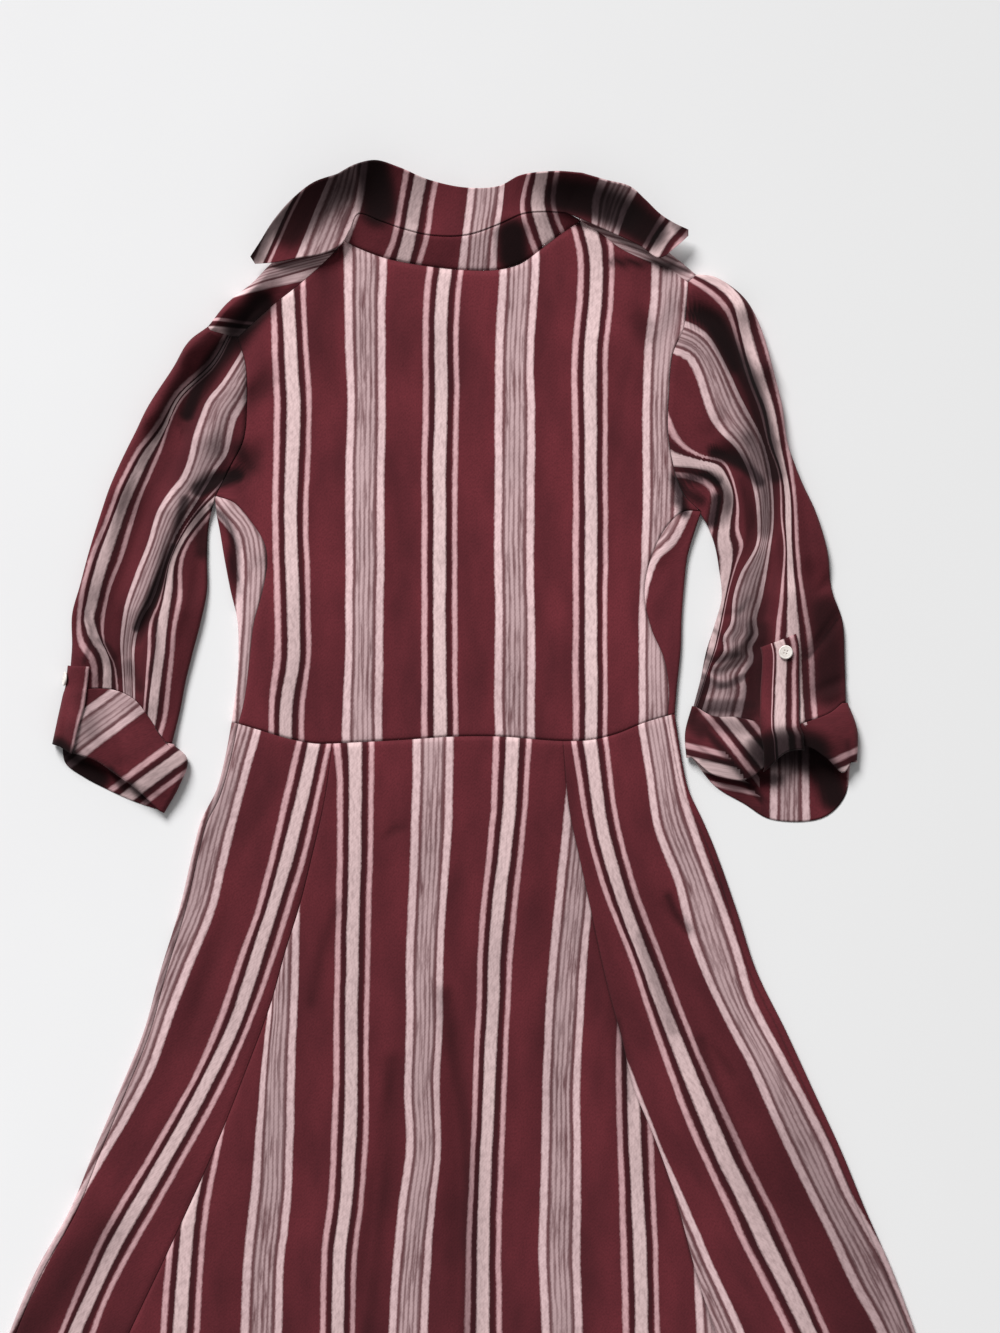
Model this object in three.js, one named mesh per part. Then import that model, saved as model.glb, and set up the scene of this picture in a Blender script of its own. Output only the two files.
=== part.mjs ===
// A striped shirt dress laid flat, face down, with its back up. Sizes are millimetres.
// x = 0 is the centre back, y = 0 the waist and z = 0 the floor until the whole dress is centred.
import * as THREE from 'three';

// Driving dimensions
const CLOTH = 1.6;            // wall of a single layer
const COLLAR_CLOTH = 2.2;     // wall of the collar and its stand
const CUFF_CLOTH = 3.0;       // wall of the rolled cuff
const CUFF_PROUD = 1.4;       // how far the roll stands out from the sleeve
const CUFF_GAP = 0.65;        // how far the roll's edges are drawn in
const SEAM_GAP = 0.3;         // distance between two pieces at a seam
const LAY = 5.2;              // thickness of the dress where nothing lifts it
const FOLD_REACH = 5;         // widest rounding of a folded side
const SIDE_WRAP = 3;          // how far the skirt fronts reach over the side fold
const PLACKET_WIDTH = 30;
const PLACKET_LIFT = 1.5;     // the placket lies on its buttons
const PLACKET_CLOTH = 2.0;
const BUTTON_RADIUS = 5.5;
const BUTTON_THICK = 1.2;
const BUTTON_COUNT = 11;
const BUTTON_TOP = 335;       // height of the top button above the waist
const BUTTON_STEP = 99;
const TAB_CLOTH = 2.0;
const TAB_GAP = 0.6;          // distance from a tab to the cloth under it
const TAB_BUTTON_RADIUS = 6;
const TAB_BUTTON_THICK = 2.4;
const TAB_BUTTON_LIFT = 0.7;  // the button's shank holds it off the tab
const TAB_TURN = { out: 3, down: 5 };  // how the right tab bends round the mouth
const NECK_FRONT_Y = 352;     // bottom of the front neckline
const HEM_Y = -760;
const FRONT_HEM_Y = -758;

// How the bend of the armhole and of the cuff line dies out along the sleeve
const CAP_BEND = { lowShare: 0.12, highShare: 0.5, sharp: 2.5 };

// Rows and columns of the grids
const COUNT = {
  arc: 4, side: 7, armhole: 6, shoulder: 5, neck: 12, frontNeck: 2, wrap: 3, roll: 5,
  gore: 5, skirt: 14, sleeve: 15, cuff: 5, leafEnd: 7, leaf: 5, stand: 3,
};

const COLOURS = {
  cloth: { color: 0x642d34, roughness: 0.85, metalness: 0 },
  cuff: { color: 0x5c2a31, roughness: 0.85, metalness: 0 },
  collar: { color: 0x6a3038, roughness: 0.85, metalness: 0 },
  button: { color: 0xe6ded7, roughness: 0.35, metalness: 0 },
};

// Outlines seen from above. Each row is [x, y].
const WAIST = {
  left: [[-186, 14], [-166, 8], [-142, 1], [-120, -3], [-105, -3]],
  middle: [[-105, -3], [-47, 0], [0, 3], [39, 3], [77, 0], [93, -1]],
  right: [[93, -1], [116, 0], [138, 5], [163, 15], [183, 21]],
};
const WAIST_CORNER = { left: [-192, 15], right: [189, 22] };
const NECK_SEAM = [
  [-95, 429], [-84, 423], [-60, 414], [-30, 408], [4, 404], [37, 404], [56, 409], [73, 421],
  [90, 434], [108, 446],
];

// One row of outlines for each side of the dress as it lies, named as seen from above
const SIDES = {
  left: {
    outwards: -1,
    shoulderBack: [[-95, 429], [-112, 411], [-133, 392], [-157, 373], [-187, 346]],
    shoulderFront: [[-103, 442], [-133, 428], [-155, 412], [-172, 394], [-192, 378], [-212, 355]],
    armhole: [[-187, 346], [-180, 322], [-179, 292], [-182, 258], [-194, 234]],
    underarm: [-206, 207],
    side: [[-205, 195], [-202, 179], [-198, 155], [-193, 129], [-187, 103], [-186, 77], [-187, 52]],
    sideSeam: [
      [-190, 204], [-176, 189], [-163, 168], [-161, 153], [-165, 129], [-173, 99], [-177, 64], [-181, 34],
    ],
    sleeveOuter: [
      [-227, 343], [-243, 318], [-260, 292], [-273, 267], [-286, 241], [-297, 215], [-306, 189],
      [-314, 163], [-322, 133], [-329, 108], [-329, 77], [-332, 41],
    ],
    sleeveInner: [
      [-209, 197], [-212, 181], [-213, 155], [-213, 129], [-218, 103], [-225, 76], [-231, 52],
      [-236, 26], [-243, -3],
    ],
    sleeveEnd: [[-314, 44], [-292, 43], [-275, 35], [-262, 19], [-253, 5]],
    cuffOuter: [[-336, 22], [-342, -4]],
    cuffInner: [[-231, -17], [-238, -39], [-251, -62]],
    mouthTop: [[-327, -11], [-308, -17], [-292, -28], [-273, -42]],
    mouthLow: [[-335, -20], [-319, -32], [-302, -41], [-278, -52]],
    skirt: [
      [-198, -17], [-205, -43], [-218, -69], [-225, -95], [-237, -146], [-253, -198], [-267, -249],
      [-288, -301], [-310, -353], [-331, -404], [-360, -456], [-382, -507], [-426, -628], [-469, -740],
    ],
    skirtSeam: [
      [-105, -3], [-112, -52], [-123, -101], [-133, -141], [-146, -183], [-158, -226], [-181, -288],
      [-207, -353], [-242, -430], [-280, -510], [-318, -593], [-387, -748],
    ],
  },
  right: {
    outwards: 1,
    shoulderBack: [[108, 446], [125, 435], [142, 422], [163, 412], [185, 404], [200, 393]],
    shoulderFront: [[112, 459], [125, 453], [139, 446], [159, 436], [178, 423], [194, 411], [207, 400]],
    armhole: [[200, 393], [197, 356], [187, 331], [184, 297], [183, 267], [187, 239], [196, 212]],
    underarm: [211, 194],
    side: [[206, 179], [200, 158], [197, 133], [195, 108], [194, 77], [191, 47]],
    sideSeam: [
      [196, 196], [184, 186], [173, 168], [165, 144], [163, 122], [169, 95], [180, 69], [184, 43],
    ],
    sleeveOuter: [
      [223, 398], [242, 386], [255, 370], [265, 348], [273, 318], [281, 288], [285, 258], [297, 224],
      [310, 196], [320, 163], [324, 129], [333, 103], [335, 69], [336, 32],
    ],
    sleeveInner: [
      [217, 184], [223, 168], [227, 146], [229, 122], [223, 99], [216, 77], [211, 52], [205, 29],
    ],
    sleeveEnd: [[322, 24], [307, 18], [288, 13], [264, 15], [241, 20], [221, 21]],
    cuffOuter: [[344, 9], [344, -19]],
    cuffInner: [[199, 6], [200, -15]],
    mouthTop: [[333, -28], [318, -15], [301, -5], [284, -6], [269, -19], [249, -34], [224, -31]],
    mouthLow: [[335, -49], [316, -67], [271, -68], [249, -55], [224, -40]],
    skirt: [
      [195, -17], [201, -43], [213, -69], [224, -95], [242, -146], [259, -198], [284, -249],
      [308, -301], [332, -353], [353, -404], [376, -456], [395, -507], [430, -611], [464, -740],
    ],
    skirtSeam: [
      [93, -1], [98, -58], [107, -101], [116, -142], [130, -206], [144, -259], [153, -297],
      [172, -343], [189, -391], [209, -464], [224, -510], [249, -593], [292, -752],
    ],
  },
};

// Tabs: the sleeve row where each starts, the ring columns that it covers and the cell under its button
const TABS = {
  left: { firstRow: 14, columns: [1.6, 2, 3, 4, 5, 5.3], buttonCell: [0, 1], turnsIn: false },
  right: { firstRow: 12, columns: [7.6, 8, 9, 10, 10.3], buttonCell: [0, 1], turnsIn: true },
};

// The collar, opened out and lifted off the neck. Each row is [x, y, z].
const COLLAR = {
  standTop: [
    [-90, 437, 13], [-83, 451, 15], [-64, 445, 16], [-47, 439, 16], [-22, 433, 15], [9, 433, 14],
    [37, 442, 15], [58, 451, 16], [77, 453, 15], [95, 452, 14],
  ],
  leftEdge: [
    [-171, 408, 14], [-155, 409, 16], [-133, 413, 16], [-112, 417, 15], [-97, 425, 14], [-90, 437, 13],
  ],
  rightEdge: [
    [95, 452, 14], [116, 443, 15], [138, 433, 16], [159, 423, 17], [175, 413, 16], [190, 423, 15],
    [200, 432, 14],
  ],
  leftRim: [
    [-175, 414, 15], [-166, 427, 19], [-155, 443, 24], [-140, 459, 31], [-120, 474, 36], [-99, 481, 38],
  ],
  middleRim: [
    [-99, 481, 38], [-84, 489, 38], [-67, 493, 36], [-47, 488, 30], [-22, 479, 21], [9, 473, 17],
    [37, 474, 18], [56, 482, 25], [86, 484, 33], [108, 482, 36],
  ],
  rightRim: [
    [108, 482, 36], [129, 476, 36], [149, 471, 34], [162, 461, 29], [175, 450, 23], [187, 443, 18],
    [200, 437, 15],
  ],
  curl: 2.2,                  // how late the collar rises from its seam to its rim
};

// Ridges of the upper layer: [x, y] of both ends, half width and height
const RIDGES = [
  { from: [-135, 416], to: [-165, 396], width: 13, height: 5 },
  { from: [-165, 396], to: [-198, 368], width: 12, height: 8 },
  { from: [-198, 368], to: [-228, 335], width: 12, height: 9 },
  { from: [-228, 335], to: [-262, 278], width: 13, height: 8 },
  { from: [-262, 278], to: [-290, 215], width: 15, height: 6 },
  { from: [-290, 215], to: [-313, 135], width: 17, height: 6 },
  { from: [-186, 305], to: [-212, 262], width: 13, height: 4 },
  { from: [-212, 262], to: [-240, 200], width: 14, height: 5 },
  { from: [-240, 200], to: [-272, 115], width: 15, height: 5 },
  { from: [-236, 110], to: [-262, 35], width: 15, height: 6 },
  { from: [-318, 70], to: [-322, 20], width: 14, height: 8 },
  { from: [-312, 5], to: [-264, -22], width: 26, height: 12 },
  { from: [120, 436], to: [170, 412], width: 11, height: 4 },
  { from: [212, 388], to: [244, 370], width: 12, height: 7 },
  { from: [244, 370], to: [262, 320], width: 13, height: 8 },
  { from: [262, 320], to: [278, 262], width: 14, height: 7 },
  { from: [205, 345], to: [236, 268], width: 15, height: 5 },
  { from: [282, 235], to: [302, 160], width: 18, height: 7 },
  { from: [252, 160], to: [232, 80], width: 16, height: 6 },
  { from: [284, 120], to: [286, 20], width: 18, height: 9 },
  { from: [245, 0], to: [310, 4], width: 30, height: 15 },
  { from: [-196, 200], to: [-168, 160], width: 9, height: 3 },
  { from: [198, 196], to: [176, 160], width: 9, height: 3 },
  { from: [-60, -250], to: [-100, -740], width: 34, height: 1.9 },
  { from: [40, -300], to: [44, -740], width: 34, height: 1.9 },
  { from: [-170, -330], to: [-250, -740], width: 34, height: 1.9 },
  { from: [150, -330], to: [190, -740], width: 34, height: 1.9 },
  { from: [250, -300], to: [330, -740], width: 34, height: 1.9 },
  { from: [-290, -400], to: [-370, -740], width: 34, height: 1.9 },
  { from: [-140, 330], to: [-150, 60], width: 22, height: 1.4 },
  { from: [130, 340], to: [132, 60], width: 22, height: 1.4 },
];

// Height of the upper layer over the floor: the lay of the dress and the ridges that cross the place
function layHeight([x, y]) {
  return RIDGES.reduce((sum, { from, to, width, height }) => {
    const run = [to[0] - from[0], to[1] - from[1]];
    const part = ((x - from[0]) * run[0] + (y - from[1]) * run[1]) / (run[0] ** 2 + run[1] ** 2);
    const held = Math.min(1, Math.max(0, part));
    const away = Math.hypot(x - from[0] - held * run[0], y - from[1] - held * run[1]);
    return sum + height * Math.exp(-((away / width) ** 2));
  }, LAY);
}

const onTop = ([x, y]) => [x, y, layHeight([x, y])];
const onFloor = ([x, y]) => [x, y, 0];
const mix = (a, b, share) => a.map((value, k) => value + (b[k] - value) * share);

// Evenly spaced points of the smooth curve through a table's rows
function smooth(rows, count) {
  const points = rows.map((row) => new THREE.Vector3(row[0], row[1], row[2] ?? 0));
  const curve = new THREE.CatmullRomCurve3(points, false, 'centripetal');
  const size = rows[0].length;
  return curve.getSpacedPoints(count).map((point) => point.toArray().slice(0, size));
}

// Grid between four edges. low and high run across, left and right run up; all are lists of points.
// The bend of each cross edge, its distance from a straight line, is spent within its own share.
function patch(low, high, left, right, { lowShare = 1, highShare = 1, sharp = 1 } = {}) {
  const across = low.length - 1;
  const up = left.length - 1;
  const spent = (v, share) => Math.max(0, 1 - v / share) ** sharp;
  return left.map((_, row) => low.map((__, column) => {
    const u = column / across;
    const v = row / up;
    const level = mix(left[row], right[row], u);
    const lowLine = mix(low[0], low[across], u);
    const highLine = mix(high[0], high[across], u);
    return level.map((value, k) => value
      + (low[column][k] - lowLine[k]) * spent(v, lowShare)
      + (high[column][k] - highLine[k]) * spent(1 - v, highShare));
  }));
}

// Rounded turn of the cloth from the floor to the upper layer at a folded side
function foldAt(outer, inward, proud = 0) {
  const within = (distance) => [outer[0] + inward[0] * distance, outer[1] + inward[1] * distance];
  const reach = Math.min(layHeight(within(FOLD_REACH / 2)) / 2, FOLD_REACH);
  const height = layHeight(within(reach)) + proud;
  const turn = Array.from({ length: COUNT.arc + 1 }, (_, step) => {
    const angle = (step / COUNT.arc - 0.5) * Math.PI;
    const inset = reach - (reach + proud) * Math.cos(angle);
    return [...within(inset), (height / 2) * (1 + Math.sin(angle))];
  });
  return { turn, low: turn[0], top: turn[COUNT.arc], outer, inward };
}

// Folds along a side. hand is +1 where the cloth lies to the left of the way that the rows run.
function foldsAlong(points, hand, { first, last, proud = 0 } = {}) {
  return points.map((point, k) => {
    if (k === 0 && first) return first;
    if (k === points.length - 1 && last) return last;
    const before = points[Math.max(0, k - 1)];
    const after = points[Math.min(points.length - 1, k + 1)];
    const length = Math.hypot(after[0] - before[0], after[1] - before[1]);
    const inward = [-hand * (after[1] - before[1]) / length, hand * (after[0] - before[0]) / length];
    return foldAt(point, inward, proud);
  });
}

// An open surface that patches are sewn into, point to point
class Surface {
  constructor() {
    this.points = [];
    this.faces = [];
    this.places = new Map();
  }

  static key(point) {
    return point.map((value) => Math.round(value * 500)).join(' ');
  }

  point(position) {
    const key = Surface.key(position);
    if (!this.places.has(key)) {
      this.places.set(key, this.points.length);
      this.points.push(position);
    }
    return this.places.get(key);
  }

  // Rows of points. Faces look up where columns run along +x and rows along +y, or down if turned.
  add(rows, turned = false) {
    const ids = rows.map((row) => row.map((position) => this.point(position)));
    for (let row = 0; row + 1 < ids.length; row += 1) {
      for (let column = 0; column + 1 < ids[row].length; column += 1) {
        const a = ids[row][column];
        const b = ids[row][column + 1];
        const c = ids[row + 1][column + 1];
        const d = ids[row + 1][column];
        [[a, b, c], [a, c, d]].forEach((face) => {
          if (new Set(face).size === 3) this.faces.push(turned ? face.reverse() : face);
        });
      }
    }
    return this;
  }
}

// Directions out of the cloth at every point, shared by the surfaces that meet there
function sharedNormals(surfaces) {
  const normals = new Map();
  const a = new THREE.Vector3();
  const b = new THREE.Vector3();
  const c = new THREE.Vector3();
  surfaces.forEach(({ points, faces }) => faces.forEach((face) => {
    a.fromArray(points[face[0]]);
    b.fromArray(points[face[1]]).sub(a);
    c.fromArray(points[face[2]]).sub(a);
    const normal = b.cross(c);
    face.forEach((id) => {
      const key = Surface.key(points[id]);
      normals.set(key, (normals.get(key) ?? new THREE.Vector3()).add(normal));
    });
  }));
  normals.forEach((normal) => normal.normalize());
  return normals;
}

// Closed wall of one piece: its surface, drawn in from the seams, and the same surface one wall deeper
function wall(surface, normals, thickness, gap = SEAM_GAP / 2) {
  const { points, faces } = surface;
  const normal = points.map((position) => normals.get(Surface.key(position)));
  const used = new Set();
  faces.forEach((face) => face.forEach((id, k) => used.add(`${id} ${face[(k + 1) % 3]}`)));
  const rim = [...used].map((edge) => edge.split(' ').map(Number))
    .filter(([a, b]) => !used.has(`${b} ${a}`));
  const inwards = new Map();
  rim.forEach(([a, b]) => {
    const along = new THREE.Vector3(...points[b]).sub(new THREE.Vector3(...points[a]));
    [a, b].forEach((id) => {
      const inward = new THREE.Vector3().crossVectors(normal[id], along).normalize();
      inwards.set(id, [...(inwards.get(id) ?? []), inward]);
    });
  });
  const outer = points.map((position, id) => {
    const place = new THREE.Vector3(...position);
    const ways = inwards.get(id);
    if (!ways) return place;
    const way = ways.reduce((sum, one) => sum.add(one), new THREE.Vector3()).normalize();
    place.addScaledVector(way, gap / Math.max(0.5, way.dot(ways[0])));
    return place.setZ(Math.max(0, place.z));
  });
  const inner = outer.map((place, id) => place.clone().addScaledVector(normal[id], -thickness));
  const count = points.length;
  const index = faces.flatMap(([a, b, c]) => [a, b, c, a + count, c + count, b + count]);
  rim.forEach(([a, b]) => index.push(b, a, a + count, b, a + count, b + count));
  const geometry = new THREE.BufferGeometry();
  geometry.setAttribute('position', new THREE.Float32BufferAttribute(
    [...outer, ...inner].flatMap((place) => place.toArray()),
    3,
  ));
  geometry.setIndex(index);
  geometry.computeVertexNormals();
  return geometry;
}

const dress = new THREE.Group();

function addPiece(name, geometry, colour) {
  const mesh = new THREE.Mesh(geometry, new THREE.MeshStandardMaterial(COLOURS[colour]));
  mesh.name = name;
  dress.add(mesh);
  return mesh;
}

// Corners and shared rows of one side
function layOut(side) {
  const rows = SIDES[side];
  const out = rows.outwards;
  const shoulderPoint = rows.shoulderFront.at(-1);
  const corner = {
    waist: foldAt(WAIST_CORNER[side], [-out, 0]),
    underarm: foldAt(rows.underarm, [0, 1]),
    shoulder: foldAt(shoulderPoint, new THREE.Vector2(-out * 0.6, -0.8).toArray()),
  };
  const sideFolds = foldsAlong(
    smooth([WAIST_CORNER[side], ...[...rows.side].reverse(), rows.underarm], COUNT.side),
    out,
    { first: corner.waist, last: corner.underarm },
  );
  const waistSeam = out < 0 ? WAIST.left[0] : WAIST.right.at(-1);
  const seamTop = corner.underarm.top.slice(0, 2);
  const sideSeam = smooth([waistSeam, ...[...rows.sideSeam].reverse(), seamTop], COUNT.side);
  const armholeTop = smooth([seamTop, ...[...rows.armhole].reverse()], COUNT.armhole);
  const cornerLow = corner.shoulder.low.slice(0, 2);
  const armholeLow = smooth(
    [corner.underarm.low.slice(0, 2), ...[...rows.armhole].reverse(), cornerLow],
    COUNT.armhole,
  );
  const shoulderFolds = foldsAlong(smooth(rows.shoulderFront, COUNT.shoulder), -out, {
    last: corner.shoulder,
  });
  const shoulderSeam = smooth(rows.shoulderBack, COUNT.shoulder);
  return { rows, out, corner, sideFolds, sideSeam, armholeTop, armholeLow, shoulderFolds, shoulderSeam };
}

const layout = { left: layOut('left'), right: layOut('right') };

// Points of the upper layer between a fold and a seam
const wrapTo = (fold, seam, count) => Array.from({ length: count + 1 }, (_, k) => (
  k === 0 ? fold.top : onTop(mix(fold.top.slice(0, 2), seam, k / count))
));

function backBodice() {
  const { left, right } = layout;
  const neck = smooth(NECK_SEAM, COUNT.neck);
  const low = [
    ...smooth(WAIST.left, COUNT.gore),
    ...smooth(WAIST.middle, COUNT.neck).slice(1),
    ...smooth(WAIST.right, COUNT.gore).slice(1),
  ];
  const high = [
    ...[...left.shoulderSeam].reverse(),
    ...neck.slice(1),
    ...right.shoulderSeam.slice(1),
  ];
  const edges = [left, right].map(({ sideSeam, armholeTop }) => [...sideSeam, ...armholeTop.slice(1)]);
  return new Surface().add(patch(low, high, edges[0], edges[1]).map((row) => row.map(onTop)));
}

// The front lies on the floor, turns up at the side and over the shoulder, and meets the back there
function frontBodice(side) {
  const { out, corner, sideFolds, sideSeam, armholeLow, shoulderFolds, shoulderSeam } = layout[side];
  const middle = (out * PLACKET_WIDTH) / 2;
  const waist = smooth([[middle, 3], [middle + out * 90, 0], corner.waist.low.slice(0, 2)], COUNT.gore + 2);
  const outer = [...sideFolds.map(({ low }) => low.slice(0, 2)), ...armholeLow.slice(1)];
  const neckPoint = shoulderFolds[0].low.slice(0, 2);
  const neck = smooth(
    [[middle, NECK_FRONT_Y], [middle + out * 55, NECK_FRONT_Y + 25], neckPoint],
    COUNT.frontNeck,
  );
  const high = [...neck, ...shoulderFolds.slice(1).map(({ low }) => low.slice(0, 2))];
  const centre = smooth([[middle, 3], [middle, NECK_FRONT_Y]], COUNT.side + COUNT.armhole);
  const surface = new Surface();
  const floor = patch(waist, high, centre, outer).map((row) => row.map(onFloor));
  surface.add(floor, out > 0);
  surface.add(
    sideFolds.map((fold, k) => [...fold.turn, ...wrapTo(fold, sideSeam[k], COUNT.wrap).slice(1)]),
    out > 0,
  );
  surface.add(
    shoulderFolds.map((fold, k) => [...fold.turn, ...wrapTo(fold, shoulderSeam[k], COUNT.roll).slice(1)]),
    out < 0,
  );
  return surface;
}

// The sleeve and its cuff are flattened tubes: an upper and a lower patch joined by two folds
function sleeve(side) {
  const { rows, out, corner, armholeTop, armholeLow, shoulderSeam } = layout[side];
  const outerFolds = foldsAlong(
    smooth([rows.shoulderFront.at(-1), ...rows.sleeveOuter], COUNT.sleeve),
    -out,
    { first: corner.shoulder },
  );
  const innerFolds = foldsAlong(
    smooth([rows.underarm, ...rows.sleeveInner], COUNT.sleeve),
    out,
    { first: corner.underarm },
  );
  const roll = wrapTo(corner.shoulder, shoulderSeam.at(-1), COUNT.roll).map((point) => point.slice(0, 2));
  const start = {
    top: [...roll, ...[...armholeTop].reverse().slice(1)],
    low: [...armholeLow].reverse(),
  };
  return { outerFolds, innerFolds, start };
}

function tube({ outerFolds, innerFolds, topStart, topEnd, lowStart, lowEnd, lift, turned, bend }) {
  const plan = (folds, level) => folds.map((fold) => fold[level].slice(0, 2));
  const raise = ([x, y]) => [x, y, layHeight([x, y]) + lift];
  const top = patch(topStart, topEnd, plan(outerFolds, 'top'), plan(innerFolds, 'top'), bend);
  const low = patch(lowStart, lowEnd, plan(outerFolds, 'low'), plan(innerFolds, 'low'), bend);
  const topRows = top.map((row, k) => [
    outerFolds[k].top, ...row.slice(1, -1).map(raise), innerFolds[k].top,
  ]);
  const surface = new Surface();
  surface.add(topRows, turned);
  surface.add(low.map((row) => row.map(onFloor)), !turned);
  surface.add(outerFolds.map((fold) => fold.turn), turned);
  surface.add(innerFolds.map((fold) => fold.turn), !turned);
  const rings = outerFolds.map((fold, k) => [...fold.turn, ...topRows[k].slice(1)]);
  return { surface, rings };
}

function sleeveAndCuff(side) {
  const { rows, out } = layout[side];
  const { outerFolds, innerFolds, start } = sleeve(side);
  const join = { outer: outerFolds.at(-1), inner: innerFolds.at(-1) };
  const between = (first, table, last, count) => smooth([
    first.slice(0, 2), ...table, last.slice(0, 2),
  ], count);
  const topCount = start.top.length - 1;
  const lowCount = start.low.length - 1;
  const turned = out < 0;
  const sleeveTube = tube({
    outerFolds,
    innerFolds,
    topStart: start.top,
    topEnd: between(join.outer.top, rows.sleeveEnd, join.inner.top, topCount),
    lowStart: start.low,
    lowEnd: between(join.outer.low, rows.sleeveEnd, join.inner.low, lowCount),
    lift: 0,
    turned,
    bend: CAP_BEND,
  });
  const cuffFold = (joint, table, hand) => foldsAlong(
    smooth([joint.outer, ...table], COUNT.cuff),
    hand,
    { first: foldAt(joint.outer, joint.inward, CUFF_PROUD), proud: CUFF_PROUD },
  );
  const cuffOuter = cuffFold(join.outer, rows.cuffOuter, -out);
  const cuffInner = cuffFold(join.inner, rows.cuffInner, out);
  const ends = [cuffOuter[0], cuffInner[0], cuffOuter.at(-1), cuffInner.at(-1)];
  const cuffTube = tube({
    outerFolds: cuffOuter,
    innerFolds: cuffInner,
    topStart: between(ends[0].top, rows.sleeveEnd, ends[1].top, topCount),
    topEnd: between(ends[2].top, rows.mouthTop, ends[3].top, topCount),
    lowStart: between(ends[0].low, rows.sleeveEnd, ends[1].low, lowCount),
    lowEnd: between(ends[2].low, rows.mouthLow, ends[3].low, lowCount),
    lift: CUFF_PROUD,
    turned,
  });
  return { sleeveTube, cuffTube };
}

// Skirt seams and side folds from the waist to the hem
function skirtLines(side) {
  const { rows, out, corner } = layout[side];
  const folds = foldsAlong(smooth([WAIST_CORNER[side], ...rows.skirt], COUNT.skirt), -out, {
    first: corner.waist,
  });
  const waistSeam = out < 0 ? WAIST.left[0] : WAIST.right.at(-1);
  const sideSeam = folds.map(({ top, inward }, k) => (
    k === 0 ? waistSeam : [top[0] + inward[0] * SIDE_WRAP, top[1] + inward[1] * SIDE_WRAP]
  ));
  return { folds, sideSeam, goreSeam: smooth(rows.skirtSeam, COUNT.skirt) };
}

const hemBetween = (a, b, count) => smooth([a, [(a[0] + b[0]) / 2, (a[1] + b[1]) / 2 - 3], b], count);

function backSkirt() {
  const left = skirtLines('left');
  const right = skirtLines('right');
  const middleHem = smooth([left.goreSeam.at(-1), [-40, HEM_Y], right.goreSeam.at(-1)], COUNT.neck);
  const panel = (low, high, first, last) => new Surface().add(
    patch(low, high, first, last).map((row) => row.map(onTop)),
    true,
  );
  return {
    back_skirt_left: panel(
      smooth(WAIST.left, COUNT.gore),
      hemBetween(left.sideSeam.at(-1), left.goreSeam.at(-1), COUNT.gore),
      left.sideSeam,
      left.goreSeam,
    ),
    back_skirt_center: panel(
      smooth(WAIST.middle, COUNT.neck),
      middleHem,
      left.goreSeam,
      right.goreSeam,
    ),
    back_skirt_right: panel(
      smooth(WAIST.right, COUNT.gore),
      hemBetween(right.goreSeam.at(-1), right.sideSeam.at(-1), COUNT.gore),
      right.goreSeam,
      right.sideSeam,
    ),
  };
}

function frontSkirt(side) {
  const { out, corner } = layout[side];
  const { folds, sideSeam } = skirtLines(side);
  const middle = (out * PLACKET_WIDTH) / 2;
  const count = COUNT.gore + 2;
  const low = smooth([[middle, 3], [middle + out * 90, 0], corner.waist.low.slice(0, 2)], count);
  const high = hemBetween([middle, FRONT_HEM_Y], folds.at(-1).low.slice(0, 2), count);
  const centre = smooth([[middle, 3], [middle, FRONT_HEM_Y]], COUNT.skirt);
  const edge = folds.map((fold) => fold.low.slice(0, 2));
  const surface = new Surface();
  surface.add(patch(low, high, centre, edge).map((row) => row.map(onFloor)), out < 0);
  surface.add(folds.map((fold, k) => [...fold.turn, onTop(sideSeam[k])]), out < 0);
  return surface;
}

function placket() {
  const half = PLACKET_WIDTH / 2;
  const step = (x) => smooth([[x, FRONT_HEM_Y], [x, NECK_FRONT_Y]], COUNT.skirt)
    .map(([across, along]) => [across, along, PLACKET_LIFT]);
  return new Surface().add(
    step(-half).map((first, k) => [first, step(0)[k], step(half)[k]]),
    true,
  );
}

// A tab lies on the sleeve and its cuff: points of both, moved out. The right one bends into the mouth.
function tab(side, sleeveNormals, cuffNormals) {
  const { firstRow, columns, buttonCell } = TABS[side];
  const { sleeveTube, cuffTube } = sleeves[side];
  const rise = (ring, normals) => ring.map((point) => {
    const normal = normals.get(Surface.key(point)).toArray();
    return point.map((value, k) => value + normal[k] * (TAB_GAP + TAB_CLOTH));
  });
  const rings = [
    ...sleeveTube.rings.slice(firstRow, -1).map((ring) => rise(ring, sleeveNormals)),
    ...cuffTube.rings.map((ring) => rise(ring, cuffNormals)),
  ];
  const rows = rings.map((ring) => columns.map((column) => {
    const whole = Math.min(Math.floor(column), ring.length - 2);
    return mix(ring[whole], ring[whole + 1], column - whole);
  }));
  if (TABS[side].turnsIn) {
    const last = rows.at(-1);
    rows.push(last.map((point, k) => {
      const before = rows.at(-2)[k];
      const length = Math.hypot(point[0] - before[0], point[1] - before[1]);
      return [
        point[0] + ((point[0] - before[0]) * TAB_TURN.out) / length,
        point[1] + ((point[1] - before[1]) * TAB_TURN.out) / length,
        point[2] - TAB_TURN.down,
      ];
    }));
  }
  const [row, column] = buttonCell;
  const cell = [rows[row][column], rows[row][column + 1], rows[row + 1][column], rows[row + 1][column + 1]];
  return { surface: new Surface().add(rows, layout[side].out < 0), cell };
}

function buttonShape(radius, thick) {
  const soft = 0.4;
  const profile = [
    [0, 0], [radius - soft, 0], [radius, soft], [radius, thick - soft], [radius - soft, thick], [0, thick],
  ].map(([r, z]) => new THREE.Vector2(r, z));
  return new THREE.LatheGeometry(profile, 16).rotateX(Math.PI / 2);
}

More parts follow.
